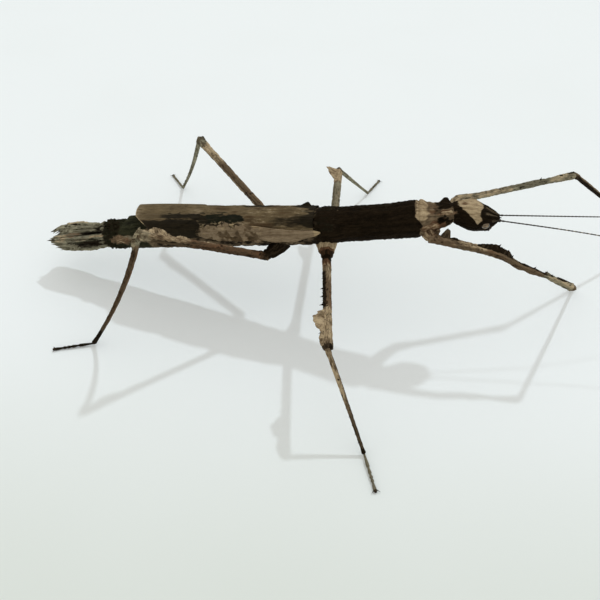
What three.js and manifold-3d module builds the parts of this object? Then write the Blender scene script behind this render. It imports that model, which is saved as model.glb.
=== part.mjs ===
// A large winged stick insect that mimics a broken twig, standing on five feet with its left
// foreleg lifted. Millimetres, +Z up, head towards +X, left side towards +Y.
import {
  BufferGeometry, CatmullRomCurve3, ConeGeometry, ExtrudeGeometry, Float32BufferAttribute, Group,
  MathUtils, Matrix4, Mesh, MeshStandardMaterial, QuadraticBezierCurve3, Shape, SphereGeometry,
  Vector3,
} from 'three';
import { mergeVertices } from 'three/addons/utils/BufferGeometryUtils.js';
import Module from 'manifold-3d';

const wasm = await Module();
wasm.setup();

// ---- Driving dimensions ----------------------------------------------------------------------

const GAP = 0.3;                                // between neighbouring pieces
const MIDDLE = new Vector3(21.2, 1.45, 0);       // middle of the standing insect, on the floor
const UP = new Vector3(0, 0, 1);

// The line through the body, from the tail tip to the front of the head.
const BODY_LINE = new CatmullRomCurve3([
  new Vector3(-106.2, 24.2, 11.9),
  new Vector3(-72.5, 17.3, 21.4),
  new Vector3(-30.8, 7.9, 30.4),
  new Vector3(10.9, -1.5, 39.3),
  new Vector3(40.8, -7.3, 47.6),
  new Vector3(54.5, -8.2, 50.3),
  new Vector3(69.2, -8.9, 49.1),
]);
const BODY_LENGTH = BODY_LINE.getLength();

// Stations along that line, in mm. Station 0 is a little in front of the line's rear end.
const LINE_START = 1.7;
const NOSE = BODY_LENGTH - LINE_START;
const TAIL_ROOT = 29.5;
const SEGMENT_8 = 39.5;
const SEGMENT_7 = 48;
const SEGMENT_5 = 61;
const SEGMENT_3 = 76;
const METATHORAX = 91;
const MESOTHORAX = 117.5;
const PRONOTUM = 152.5;
const HEAD = 165;
const WING_TIP = 45.5;
const TEGMEN_TIP = 74;
const TEGMEN_ROOT = 117.1;

// The pose and the lengths of each leg: hip, knee, ankle and toe, with the station it grows from.
const FLOOR_ANKLE = 1;
const FLOOR_TOE = 0.5;
const LEGS = [
  {
    name: 'fore_right', side: -1, station: 156, thigh: 1.4, shank: 1, bow: 0.5, arch: 1.4,
    hip: [45.6, -14.6, 46], knee: [92.3, -28.5, 34.6],
    ankle: [112.8, 6, FLOOR_ANKLE], toe: [104.8, 15.3, FLOOR_TOE],
  },
  {
    name: 'fore_left', side: 1, station: 158, thigh: 1.2, shank: 1, bow: 0.5, arch: 0,
    hip: [54.3, 2.6, 46.4], knee: [101.3, 15.1, 50.2],
    ankle: [137.9, 28.1, 18.4], toe: [146.9, 29.5, 10.6],
  },
  {
    name: 'mid_right', side: -1, station: 119.6, thigh: 1.32, shank: 0.85, bow: -0.5, arch: 0,
    hip: [9.6, -10.2, 33], knee: [8.7, -53.4, 31.7],
    ankle: [21, -71.9, FLOOR_ANKLE], toe: [23.6, -84.5, FLOOR_TOE],
  },
  {
    name: 'mid_left', side: 1, station: 120.5, thigh: 1.32, shank: 0.85, bow: -0.5, arch: 0,
    hip: [13.4, 7, 33], knee: [16.6, 50.6, 28.8],
    ankle: [32.9, 72.1, FLOOR_ANKLE], toe: [39.1, 82.5, FLOOR_TOE],
  },
  {
    name: 'hind_right', side: -1, station: 94.5, thigh: 1.35, shank: 1.05, bow: -4.4, arch: 0,
    hip: [-12.2, -5.5, 28.7], knee: [-52.3, -22.7, 52.8],
    ankle: [-78.4, -24.1, FLOOR_ANKLE], toe: [-92.4, -26.6, FLOOR_TOE],
  },
  {
    name: 'hind_left', side: 1, station: 94.5, thigh: 1.35, shank: 1.05, bow: -3, arch: 0,
    hip: [-10, 11.1, 31.9], knee: [-42.2, 53.2, 42.1],
    ankle: [-57.4, 76.6, FLOOR_ANKLE], toe: [-63.5, 87.3, FLOOR_TOE],
  },
];
const COXA_ROOT = 4;                            // depth of a coxa's root below the body line
const SPINE = 1.1;                              // length of a leg spine
const FLAP_THICK = 0.9;
const SLIVER = 0.004;                           // edges shorter than this are dropped

const EYE = { radius: 1.3, station: 175.5, out: 4.05, up: -0.7 };
const ANTENNA = { root: 0.55, tip: 0.28 };

const COLOURS = {
  bark: 0x2c231c, dark: 0x241d18, pale: 0xb9a88c, tan: 0x7d6a50, wing: 0x6d604a,
  tegmen: 0x9c9080, green: 0x333a2e, lichen: 0x8d8f7c, leg: 0x75624b, foot: 0x3a312a,
  eye: 0x4a2417, feeler: 0x2b221c,
};

// ---- Solids ----------------------------------------------------------------------------------

/** Where the body line is at a station, with the directions ahead, left and up there. */
function bodyFrame(station) {
  const t = MathUtils.clamp((station + LINE_START) / BODY_LENGTH, 0, 1);
  const centre = BODY_LINE.getPointAt(t);
  const ahead = BODY_LINE.getTangentAt(t);
  const left = UP.clone().cross(ahead).normalize();
  return { centre, ahead, left, up: ahead.clone().cross(left) };
}

/** The point at a radius and a turn from the top, turning to the left, in a frame. */
function pointAt(frame, radius, turn) {
  return frame.centre.clone()
    .addScaledVector(frame.left, radius * Math.sin(turn))
    .addScaledVector(frame.up, radius * Math.cos(turn));
}

/** A closed solid through rings of points, each end closed by a zigzag strip. */
function loft(rings) {
  const count = rings[0].length;
  const last = (rings.length - 1) * count;
  const index = [];
  for (let row = 0; row < rings.length - 1; row += 1) {
    for (let i = 0; i < count; i += 1) {
      const a = row * count + i;
      const b = row * count + (i + 1) % count;
      index.push(a, b, a + count, b, b + count, a + count);
    }
  }
  for (let low = 0, high = count - 1; high - low > 1; low += 1, high -= 1) {
    index.push(low, high, low + 1);
    index.push(last + low, last + low + 1, last + high);
    if (high - low > 2) {
      index.push(low + 1, high, high - 1);
      index.push(last + low + 1, last + high - 1, last + high);
    }
  }
  const geometry = new BufferGeometry();
  const positions = rings.flat().flatMap((point) => [point.x, point.y, point.z]);
  geometry.setAttribute('position', new Float32BufferAttribute(positions, 3));
  geometry.setIndex(index);
  return geometry;
}

/** A length of the body between two stations, with radius(station, turn). */
function bodyLength(from, to, steps, sides, radius, grow = 0) {
  const rings = [];
  for (let row = 0; row <= steps; row += 1) {
    const station = MathUtils.lerp(from - grow, to + grow, row / steps);
    const inside = MathUtils.clamp(station, from, to);
    const frame = bodyFrame(station);
    rings.push(Array.from({ length: sides }, (_, i) => {
      const turn = (-2 * Math.PI * i) / sides;
      return pointAt(frame, radius(inside, turn) + grow, turn);
    }));
  }
  return loft(rings);
}

/** A curved plate over the body, from turn[0] to turn[1], between two radii. */
function plate(from, to, steps, spans, edges, inner, thick, grow = 0) {
  const rings = [];
  for (let row = 0; row <= steps; row += 1) {
    const station = MathUtils.lerp(from - grow, to + grow, row / steps);
    const inside = MathUtils.clamp(station, from, to);
    const frame = bodyFrame(station);
    const [start, end] = edges((inside - from) / (to - from));
    const extra = grow / inner(inside, start) * Math.sign(end - start);
    const turns = Array.from({ length: spans + 1 },
      (_, i) => MathUtils.lerp(start - extra, end + extra, i / spans));
    const outside = turns.map((turn) => pointAt(frame,
      inner(inside, turn) + thick(inside, turn) + grow, turn));
    const under = turns.map((turn) => pointAt(frame, inner(inside, turn) - grow, turn));
    rings.push([...outside, ...under.reverse()]);
  }
  return loft(rings);
}

/** A limb along a curve, with radius(fraction, turn); nothing of it goes below the floor. */
function limb(curve, steps, sides, radius, grow = 0) {
  const length = curve.getLength();
  const rings = [];
  for (let row = 0; row <= steps; row += 1) {
    const along = MathUtils.lerp(-grow, length + grow, row / steps) / length;
    const inside = MathUtils.clamp(along, 0, 1);
    const ahead = curve.getTangentAt(inside);
    const centre = curve.getPointAt(inside).addScaledVector(ahead, (along - inside) * length);
    const side = UP.clone().cross(ahead).normalize();
    const frame = { centre, left: side, up: ahead.clone().cross(side) };
    rings.push(Array.from({ length: sides }, (_, i) => {
      const turn = (-2 * Math.PI * i) / sides;
      const point = pointAt(frame, radius(inside, turn) + grow, turn);
      point.z = Math.max(point.z, 0);
      return point;
    }));
  }
  return loft(rings);
}

/** A thorn or tooth: a small cone standing at a point, sunk into what it grows from. */
function thorn(base, direction, length, width) {
  const cone = new ConeGeometry(width, length * 2, 5, 1);
  const spin = new Matrix4().lookAt(new Vector3(), direction.clone().negate(), UP.clone()
    .addScaledVector(direction, -0.1));
  cone.rotateX(Math.PI / 2);
  cone.applyMatrix4(spin);
  return cone.translate(base.x, base.y, base.z);
}

/** A leaf-shaped flap: it runs along one direction and stands out in another. */
function flap(base, along, out, { length, width }) {
  const outline = new Shape();
  outline.moveTo(-length / 2, 0);
  outline.quadraticCurveTo(-length * 0.4, width * 0.9, 0, width);
  outline.quadraticCurveTo(length * 0.15, width * 0.55, length / 2, 0);
  outline.closePath();
  const geometry = new ExtrudeGeometry(outline,
    { depth: FLAP_THICK, bevelEnabled: false, curveSegments: 4 });
  geometry.translate(0, 0, -FLAP_THICK / 2);
  const across = along.clone().cross(out).normalize();
  const square = across.clone().cross(along).normalize();
  geometry.applyMatrix4(new Matrix4().makeBasis(along.clone().normalize(), square, across));
  return geometry.translate(base.x, base.y, base.z);
}

/** A manifold solid of a closed geometry, turned outside out where its faces look inwards. */
function solidOf(geometry) {
  const bare = geometry.clone();
  bare.deleteAttribute('normal');
  bare.deleteAttribute('uv');
  const merged = mergeVertices(bare);
  const triVerts = new Uint32Array(merged.index.array);
  const vertProperties = new Float32Array(merged.attributes.position.array);
  const at = (corner) => new Vector3().fromArray(vertProperties, triVerts[corner] * 3);
  let volume = 0;
  for (let corner = 0; corner < triVerts.length; corner += 3) {
    volume += at(corner).dot(at(corner + 1).cross(at(corner + 2)));
  }
  if (volume < 0) {
    triVerts.reverse();
  }
  return new wasm.Manifold(new wasm.Mesh({ numProp: 3, vertProperties, triVerts }));
}

/** The geometry of a manifold solid, its slivers smoothed away. */
function geometryOf(solid) {
  const mesh = solid.simplify(SLIVER).getMesh();
  const geometry = new BufferGeometry();
  geometry.setAttribute('position', new Float32BufferAttribute(mesh.vertProperties, 3));
  geometry.setIndex(Array.from(mesh.triVerts));
  return geometry;
}

/** One geometry with others joined to it. */
function join(base, additions) {
  return additions.reduce((sum, piece) => sum.add(solidOf(piece)), solidOf(base));
}

/** The largest piece of a solid once its neighbours are cut away. */
function carve(solid, neighbours) {
  const rest = neighbours.reduce((sum, piece) => sum.subtract(solidOf(piece)), solid);
  return rest.decompose().sort((a, b) => b.volume() - a.volume())[0];
}

const insect = new Group();

/** Adds a named mesh of a solid or a geometry. */
function add(name, shape, colour, roughness = 0.75) {
  const solid = shape.isBufferGeometry ? solidOf(shape) : shape;
  const mesh = new Mesh(geometryOf(solid),
    new MeshStandardMaterial({ color: colour, roughness, metalness: 0 }));
  mesh.name = name;
  insect.add(mesh);
}

// ---- Trunk -----------------------------------------------------------------------------------

/** A smooth rise from 0 to 1 as a value goes between two ends. */
function rise(value, from, to) {
  return MathUtils.smoothstep(value, from, to);
}

/** An oval: half its width and half its height, at a turn from the top. */
function oval(halfWidth, halfHeight, turn) {
  return 1 / Math.hypot(Math.sin(turn) / halfWidth, Math.cos(turn) / halfHeight);
}

/** A crest that stands up along the back. */
function crest(height, turn) {
  return height * Math.exp(-((turn / 0.3) ** 2));
}

/** The turn from the top, from -half a turn to half a turn. */
function signed(turn) {
  return Math.atan2(Math.sin(turn), Math.cos(turn));
}

function abdomenRadius(station, turn) {
  const swell = 0.35 * Math.sin((station - SEGMENT_7) * 0.4) ** 2;
  const belly = Math.max(-Math.cos(turn), 0);
  return oval(5.9 + swell, 5.7 + swell, turn) + 0.6 * belly;
}

function segment7Radius(station, turn) {
  const plateau = crest(0.9, signed(turn)) * rise(station, SEGMENT_8, SEGMENT_8 + 2);
  return oval(6, 5.7, turn) + plateau;
}

function segment8Radius(station, turn) {
  const knobs = 0.9 + 0.5 * Math.sin(station * 2.2);
  return oval(6, 5.4, turn) + crest(knobs, signed(turn));
}

/** The tail is a broken twig end: split in splinters, widest a third of the way along. */
function tailRadius(station, turn) {
  const wide = MathUtils.lerp(3.4, 6.3, Math.sqrt(rise(station, -1, 13)));
  const narrowing = 0.7 * rise(station, 14, TAIL_ROOT);
  const splinters = 0.35 * Math.sin(7 * turn) * (1 - rise(station, 6, TAIL_ROOT));
  const back = Math.max(Math.cos(turn), 0);
  return oval(wide - narrowing, wide * 0.9 - narrowing, turn) + splinters - 0.7 * back;
}

function metathoraxRadius(station, turn) {
  return oval(6.1, 5.9, turn) + 0.1 * Math.cos(station);
}

function mesothoraxRadius(station, turn) {
  const flare = 0.6 * (1 - rise(station, MESOTHORAX, MESOTHORAX + 7))
    + 0.7 * rise(station, PRONOTUM - 8, PRONOTUM);
  return oval(6 + flare, 6.1 + flare, turn) + 0.12 * Math.sin(9 * turn);
}

function pronotumRadius(station, turn) {
  const collar = 0.5 * Math.sin((station - PRONOTUM) * 0.9) ** 2;
  const narrow = MathUtils.lerp(6.3, 3.9, rise(station, PRONOTUM, HEAD - 1));
  const top = Math.max(Math.cos(turn), 0);
  const knob = crest(2.2, signed(turn)) * Math.exp(-(((station - HEAD + 4) / 2.2) ** 2));
  return oval(narrow, narrow, turn) + collar * top + knob;
}

/** The head: it widens from the neck to the cheeks, then tapers to the mouth in front. */
function headRadius(station, turn) {
  const t = (station - HEAD) / (NOSE - HEAD);
  const cheeks = MathUtils.lerp(3.9, 5.1, rise(t, 0, 0.55));
  const wide = cheeks * Math.sqrt(1 - 0.94 * rise(t, 0.38, 1.05));
  const brow = 0.5 * Math.exp(-(((t - 0.55) / 0.16) ** 2)) * Math.cos(turn) ** 2;
  return oval(wide, wide * 0.97, turn) + brow;
}

const TRUNK = {
  tail: [0.6, TAIL_ROOT, 8, 24, tailRadius],
  abdomen_8: [TAIL_ROOT + GAP, SEGMENT_8, 7, 18, segment8Radius],
  abdomen_7: [SEGMENT_8 + GAP, SEGMENT_7, 4, 18, segment7Radius],
  abdomen_5_6: [SEGMENT_7 + GAP, SEGMENT_5, 4, 14, abdomenRadius],
  abdomen_3_4: [SEGMENT_5 + GAP, SEGMENT_3, 4, 14, abdomenRadius],
  abdomen_1_2: [SEGMENT_3 + GAP, METATHORAX, 4, 14, abdomenRadius],
  metathorax: [METATHORAX + GAP, MESOTHORAX, 4, 14, metathoraxRadius],
  mesothorax: [MESOTHORAX + GAP, PRONOTUM, 7, 18, mesothoraxRadius],
  pronotum: [PRONOTUM + GAP, HEAD, 8, 18, pronotumRadius],
  head: [HEAD + GAP, NOSE, 10, 18, headRadius],
};
const TRUNK_COLOURS = {
  tail: COLOURS.lichen, abdomen_8: COLOURS.green, abdomen_7: COLOURS.green,
  mesothorax: COLOURS.bark, pronotum: COLOURS.pale, head: COLOURS.dark,
};

/** Small thorns in rows along a length of the trunk. */
function thornRow(from, to, count, turn, radius) {
  return Array.from({ length: count }, (_, i) => {
    const station = MathUtils.lerp(from, to, (i + 0.5) / count);
    const frame = bodyFrame(station);
    const base = pointAt(frame, radius(station, turn) - 0.2, turn);
    return thorn(base, base.clone().sub(frame.centre).normalize(), 1, 0.55);
  });
}

/** The splinters of the frayed tail, pointing back from its end. */
function tailSplinters() {
  const splinters = [
    { turn: 0.5, length: 4.6, out: 3 }, { turn: -0.7, length: 3.8, out: 2.4 },
    { turn: 1.9, length: 4.4, out: 2.6 }, { turn: -2, length: 5, out: 2.2 },
    { turn: 3.1, length: 4.2, out: 2.8 },
  ];
  const frame = bodyFrame(2.9);
  return splinters.map(({ turn, length, out }) => {
    const base = pointAt(frame, out, turn);
    const back = frame.ahead.clone().negate().addScaledVector(base.clone().sub(frame.centre), 0.1);
    return thorn(base, back.normalize(), length, 1.5);
  });
}

const additions = {
  tail: tailSplinters(),
  mesothorax: [-0.9, 0, 0.9].flatMap((turn) => thornRow(
    MESOTHORAX + 3, PRONOTUM - 2, 5, turn, mesothoraxRadius)),
};

const sockets = [-1, 1].map((side) => {
  const frame = bodyFrame(EYE.station);
  const centre = frame.centre.clone()
    .addScaledVector(frame.left, side * EYE.out)
    .addScaledVector(frame.up, EYE.up);
  const name = side < 0 ? 'eye_right' : 'eye_left';
  const eye = new SphereGeometry(EYE.radius, 12, 7);
  const socket = new SphereGeometry(EYE.radius + GAP, 8, 6);
  for (const ball of [eye, socket]) {
    ball.translate(centre.x, centre.y, centre.z);
  }
  add(name, eye, COLOURS.eye, 0.25);
  return socket;
});

for (const [name, [from, to, steps, sides, radius]] of Object.entries(TRUNK)) {
  const whole = join(bodyLength(from, to, steps, sides, radius), additions[name] ?? []);
  const solid = name === 'head' ? carve(whole, sockets) : whole;
  add(name, solid, TRUNK_COLOURS[name] ?? COLOURS.tan);
}

/** A trunk length grown by the gap, to cut its neighbours clear of it. */
function grownTrunk(name) {
  const [from, to, steps, sides, radius] = TRUNK[name];
  return bodyLength(from, to, steps, sides, radius, GAP);
}

// ---- Wings -----------------------------------------------------------------------------------

const WING_CLEAR = 6.75;                        // inner radius of the folded hind wings
const WING_THICK = 1;
const TEGMEN_THICK = 0.7;
const OVERLAP = 0.7;                            // turn of the seam between the folded hind wings

/** The folded hind wings stand off the back and carry a keel along each side of it. */
function wingInner(station, turn) {
  const lift = MathUtils.lerp(2.2, 0, rise(station, WING_TIP, MESOTHORAX));
  const keel = Math.exp(-(((Math.abs(turn) - 0.75) / 0.4) ** 2));
  return WING_CLEAR + lift * (Math.cos(turn) ** 2 * 0.5 + keel);
}

function tegmenInner(station, turn) {
  return wingInner(station, turn) + WING_THICK + GAP;
}

/** A hind wing folded along the back: a long strip, rounded at its tip. The right one laps over
 * the back as far as the left keel, so the left one shows only on its own flank. */
function hindWing(side) {
  const inner = side < 0 ? OVERLAP - 0.03 : OVERLAP + 0.03;
  const edges = (t) => {
    const round = Math.sqrt(1 - (1 - Math.min(t / 0.1, 1)) ** 2);
    return [inner, inner + (side * 1.35 - inner) * MathUtils.lerp(0.8, 1, round)];
  };
  return plate(WING_TIP, MESOTHORAX - 1, 11, 5, edges, wingInner, () => WING_THICK);
}

/** A forewing: a short leaf over the flank, pointed at both ends. */
function tegmenArgs(side) {
  const low = side < 0 ? 0.5 : 0.35;
  const edges = (t) => {
    const leaf = Math.sin(Math.PI * MathUtils.clamp(t * 0.93 + 0.05, 0, 1)) ** 0.55;
    return [side * (1.15 - 0.5 * leaf), side * (1.25 + low * leaf)];
  };
  return [TEGMEN_TIP, TEGMEN_ROOT, 10, 4, edges, tegmenInner, () => TEGMEN_THICK];
}

for (const side of [-1, 1]) {
  const suffix = side < 0 ? 'right' : 'left';
  add(`hindwing_${suffix}`, hindWing(side), COLOURS.wing, 0.6);
  add(`tegmen_${suffix}`, plate(...tegmenArgs(side)), COLOURS.tegmen);
}

// ---- Antennae --------------------------------------------------------------------------------

const ANTENNAE = {
  left: [[69, -7.6, 49.2], [105, -6.2, 47.4], [131, -3, 44.8]],
  right: [[69, -10.2, 48.8], [104, -14.8, 45.6], [128, -19.4, 41.6]],
};

for (const [side, points] of Object.entries(ANTENNAE)) {
  const curve = new CatmullRomCurve3(points.map((point) => new Vector3(...point)));
  const feeler = limb(curve, 8, 5, (t) => MathUtils.lerp(ANTENNA.root, ANTENNA.tip, t));
  add(`antenna_${side}`, carve(solidOf(feeler), [grownTrunk('head')]), COLOURS.feeler, 0.6);
}

// ---- Legs ------------------------------------------------------------------------------------

// How each pair of thighs is armed: where its spines and flaps stand, and which way they point.
const KINDS = {
  fore: {
    trunk: 'pronotum', beside: ['mesothorax', 'head'], coxa: [3.2, 2.2],
    inward: 0.7, out: new Vector3(0, 0, 0.7),
    spines: [0.14, 0.43, 0.49, 0.55, 0.72],
    flaps: [{ at: 0.46, length: 11, width: 2.9 }, { at: 0.87, length: 9, width: 1.7 }],
  },
  mid: {
    trunk: 'mesothorax', beside: ['metathorax'], coxa: [2.8, 1.8],
    inward: 0, out: new Vector3(-0.75, 0, 0.66),
    spines: [0.2, 0.33, 0.42, 0.52, 0.9],
    flaps: [{ at: 0.8, length: 9.5, width: 6.3 }],
  },
  hind: {
    trunk: 'metathorax', beside: ['abdomen_1_2'], coxa: [2.4, 1.8],
    inward: 0, out: new Vector3(-0.6, 0, -0.8),
    spines: [0.35, 0.55],
    flaps: [{ at: 0.76, length: 9, width: 2.3 }, { at: 0.9, length: 6, width: 1.9 }],
  },
};

/** Half the thickness of a thigh along it: a stout base, a slim waist and a swollen knee. */
function thighRadius(thick) {
  return (t, turn) => {
    const base = 0.15 * (1 - rise(t, 0.1, 0.45));
    const knee = 0.12 * rise(t, 0.82, 0.95);
    return thick * (0.86 + base + knee + 0.07 * Math.cos(4 * turn));
  };
}

/** Half the thickness of a shank, slimmer towards the ankle. */
function shankRadius(thick) {
  return (t) => thick * MathUtils.lerp(1, 0.62, rise(t, 0, 0.9));
}

/** Half the thickness of a foot: five knuckles, one after the other. */
function footRadius(t) {
  return 0.6 + 0.12 * Math.cos(10 * Math.PI * t);
}

/** The pieces of one leg, each cut clear of the one before it. */
function buildLeg(leg) {
  const kind = KINDS[leg.name.split('_')[0]];
  const [hip, knee, ankle, toe] = [leg.hip, leg.knee, leg.ankle, leg.toe]
    .map((point) => new Vector3(...point));
  const frame = bodyFrame(leg.station);
  const root = frame.centre.clone()
    .addScaledVector(frame.left, leg.side * 2.5)
    .addScaledVector(frame.up, -COXA_ROOT);
  const straight = (a, b) => new QuadraticBezierCurve3(a, a.clone().lerp(b, 0.5), b);
  const along = knee.clone().sub(hip).normalize();
  const out = kind.out.clone().setY(-leg.side * kind.inward);
  out.addScaledVector(along, -out.dot(along)).normalize();
  const bend = knee.clone().lerp(ankle, 0.5)
    .addScaledVector(hip.clone().sub(knee).normalize(), -leg.bow);

  const coxaArgs = [straight(root, hip), 3, 8, (t) => MathUtils.lerp(...kind.coxa, t)];
  const arch = hip.clone().lerp(knee, 0.5).addScaledVector(UP, leg.arch);
  const thighArgs = [new QuadraticBezierCurve3(hip, arch, knee), 9, 8, thighRadius(leg.thigh)];
  const shankArgs = [new QuadraticBezierCurve3(knee, bend, ankle), 8, 6, shankRadius(leg.shank)];
  const footArgs = [straight(ankle, toe), 10, 6, footRadius];

  const spines = kind.spines.map((t) => thorn(
    hip.clone().lerp(knee, t).addScaledVector(out, leg.thigh * 0.8), out, SPINE, 0.6));
  const flaps = kind.flaps.map((size) => flap(hip.clone().lerp(knee, size.at), along, out, size));
  const heading = toe.clone().sub(ankle).normalize();
  const claws = [-0.5, 0.5].map((spread) => {
    const direction = heading.clone().applyAxisAngle(UP, spread);
    return thorn(toe.clone().addScaledVector(heading, -0.2).setZ(toe.z + 0.05), direction, 1.9, 0.4);
  });

  const body = [kind.trunk, ...kind.beside].map(grownTrunk);
  const wing = leg.name.startsWith('fore') ? [] : [plate(...tegmenArgs(leg.side), GAP)];
  const coxa = carve(solidOf(limb(...coxaArgs)), [...body, ...wing]);
  const thigh = carve(join(limb(...thighArgs), [...spines, ...flaps]),
    [limb(...coxaArgs, GAP), ...body, ...wing]);
  const shank = carve(solidOf(limb(...shankArgs)), [limb(...thighArgs, GAP)]);
  const foot = carve(join(limb(...footArgs), claws), [limb(...shankArgs, GAP)]);
  add(`coxa_${leg.name}`, coxa, COLOURS.pale);
  add(`femur_${leg.name}`, thigh, COLOURS.leg);
  add(`tibia_${leg.name}`, shank, COLOURS.leg);
  add(`tarsus_${leg.name}`, foot, COLOURS.foot);
}

LEGS.forEach(buildLeg);

insect.position.copy(MIDDLE).negate();
insect.updateMatrixWorld(true);

export default insect;
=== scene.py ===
"""Looks of a life-size museum model of a winged, twig-like stick insect, standing with one foreleg lifted."""
import logging
import math
from dataclasses import dataclass, field, replace
from enum import Enum
from typing import Callable, Sequence

import bpy
import numpy as np
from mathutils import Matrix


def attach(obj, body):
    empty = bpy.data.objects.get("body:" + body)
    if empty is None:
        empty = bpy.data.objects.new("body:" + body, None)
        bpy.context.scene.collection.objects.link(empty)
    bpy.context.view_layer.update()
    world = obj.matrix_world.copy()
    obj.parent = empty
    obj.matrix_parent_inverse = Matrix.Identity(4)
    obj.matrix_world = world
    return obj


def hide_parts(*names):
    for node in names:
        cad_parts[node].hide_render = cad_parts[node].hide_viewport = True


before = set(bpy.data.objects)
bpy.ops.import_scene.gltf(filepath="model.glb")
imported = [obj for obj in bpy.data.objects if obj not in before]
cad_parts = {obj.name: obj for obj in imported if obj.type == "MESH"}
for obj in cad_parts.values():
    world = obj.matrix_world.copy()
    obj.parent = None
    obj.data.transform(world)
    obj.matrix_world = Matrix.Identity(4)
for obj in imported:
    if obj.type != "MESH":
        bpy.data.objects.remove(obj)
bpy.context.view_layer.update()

Array = np.ndarray
Colour = tuple[float, float, float]
Place = tuple[float, float, float]
Radius = Callable[[Array, Array], Array]
Socket = bpy.types.NodeSocket

LOG = logging.getLogger("stick_insect")
MM = 0.001
MIDDLE = np.array([21.2, 1.45, 0])
UP = np.array([0.0, 0.0, 1.0])
BODY = "root"


class Mark(Enum):
    """The kinds of mark on a surface, each a layer of its finish."""

    PALE = "pale"
    DARK = "dark"
    MOSS = "moss"
    RUST = "rust"
    GREY = "grey"
    # painted shade in cut-in hollows and on the tail's last rings, and random dark spots on the thigh lobes
    GROOVE = "groove"


PALE, DARK, MOSS, RUST, GREY, GROOVE = Mark
Marks = dict[Mark, Array | float]


# ---- Small sums ----


def rise(value: Array, low: float, high: float) -> Array:
    """Goes smoothly from 0 to 1 as a value passes from low to high."""
    t = np.clip((np.asarray(value, float) - low) / (high - low), 0, 1)
    return t * t * (3 - 2 * t)


def fall(value: Array, low: float, high: float) -> Array:
    """Goes smoothly from 1 to 0 as a value passes from low to high."""
    return 1 - rise(value, low, high)


def band(value: Array, low: float, high: float, soft: float) -> Array:
    """Gives 1 between low and high and 0 outside, with soft ends."""
    return rise(value, low - soft, low + soft) * fall(value, high - soft, high + soft)


def bell(value: Array, middle: float, width: float) -> Array:
    """Gives a bell curve of height 1 about a middle."""
    return np.exp(-(((value - middle) / width) ** 2))


def mound(station: Array, turn: Array, middle: float, side: float, length: float, width: float) -> Array:
    """Gives a smooth mound of height 1 at one place."""
    return bell(station, middle, length) * bell(turn, side, width)


def mounds(station: Array, turn: Array, rows: Sequence[Sequence[float]]) -> Array:
    """Adds up mounds, each given by its height, station, turn, length and width."""
    return sum(row[0] * mound(station, turn, *row[1:]) for row in rows)


def rounded(share: Array, start: float, length: float, least: float) -> Array:
    """Gives 1 up to a share of a limb's length, then rounds its end off."""
    return np.sqrt(np.clip(1 - (np.clip(share - start, 0, 1) / length) ** 2, least, 1))


def half_wave(share: Array, steep: float) -> Array:
    """Goes from 0 at either side of a plate to 1 within it."""
    near, far = (np.sin(np.pi * np.clip(away * steep, 0, 0.5)) for away in (share, 1 - share))
    return near * far


def there_and_back(values: Array) -> Array:
    """Sets a plate's columns out along its upper side and back along its lower side."""
    return np.concatenate([values, values[:, ::-1]], axis=1)


def around(value: Array) -> Array:
    """Brings degrees into the range from -180 to 180."""
    return (value + 180) % 360 - 180


def clipped(marks: Marks) -> Marks:
    """Keeps every mark's strength between 0 and 1."""
    return {mark: np.clip(value, 0, 1) for mark, value in marks.items()}


def linear(red: int, green: int, blue: int) -> Colour:
    """Turns a colour as a painter would name it, 0 to 255, into light."""
    shares = [c / 255 for c in (red, green, blue)]
    made = [c / 12.92 if c <= 0.04045 else ((c + 0.055) / 1.055) ** 2.4 for c in shares]
    return (made[0], made[1], made[2])


def triple(x: Array, y: Array, z: Array) -> Array:
    """Joins three coordinates into points."""
    return np.stack(np.broadcast_arrays(x, y, z), axis=-1)


def wrapped(along: Array, girth: float, turn: Array) -> Array:
    """Sets points out in the space of the grain, which runs along a limb and round it."""
    return triple(along, girth * np.cos(turn), girth * np.sin(turn))


def unit(vectors: Array) -> Array:
    """Scales vectors to a length of 1."""
    return vectors / np.linalg.norm(vectors, axis=-1, keepdims=True)


class Noise:
    """Smooth noise in space that comes out the same on every run."""

    def __init__(self, seed: int) -> None:
        """Fills the lattice from a seed."""
        draw = np.random.default_rng(seed)
        self.order = np.tile(draw.permutation(256), 2)
        self.values = draw.uniform(-1, 1, 256)

    def at(self, points: Array) -> Array:
        """Reads the noise.

        Args:
            points: places, with three numbers in the last axis.

        Returns:
            One value between -1 and 1 for each place.
        """
        cell = np.floor(points).astype(int)
        part = points - cell
        part = part * part * (3 - 2 * part)
        total = np.zeros(points.shape[:-1])
        for corner in range(8):
            step = np.array([corner & 1, (corner >> 1) & 1, corner >> 2])
            x, y, z = np.moveaxis((cell + step) & 255, -1, 0)
            value = self.values[self.order[self.order[self.order[x] + y] + z]]
            total += value * np.prod(np.where(step == 1, part, 1 - part), axis=-1)
        return total

    def layered(self, points: Array, layers: int = 3) -> Array:
        """Adds finer and finer noise.

        Args:
            points: places, with three numbers in the last axis.
            layers: how many sizes of noise are added.

        Returns:
            One value for each place, mostly between -1 and 1.
        """
        total = np.zeros(points.shape[:-1])
        for layer in range(layers):
            total += self.at(points * 2.03**layer + 17 * layer) * 0.55**layer
        return total

    def over(self, x: Array, y: Array, z: Array, layers: int) -> Array:
        """Reads layered noise at three coordinates."""
        return self.layered(triple(x, y, z), layers)


NOISE = Noise(11)


# ---- Paths and surfaces ----


@dataclass
class Frames:
    """Places along a path, with the directions ahead, left and up at each."""

    centre: Array
    ahead: Array
    left: Array
    up: Array

    def out(self, turn: Array) -> Array:
        """Gives the directions square to the path at a turn from the top to the left, in radians."""
        return np.sin(turn) * self.left + np.cos(turn) * self.up

    def first(self) -> "Frames":
        """Takes the first place alone."""
        return Frames(self.centre[0], self.ahead[0], self.left[0], self.up[0])


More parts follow.
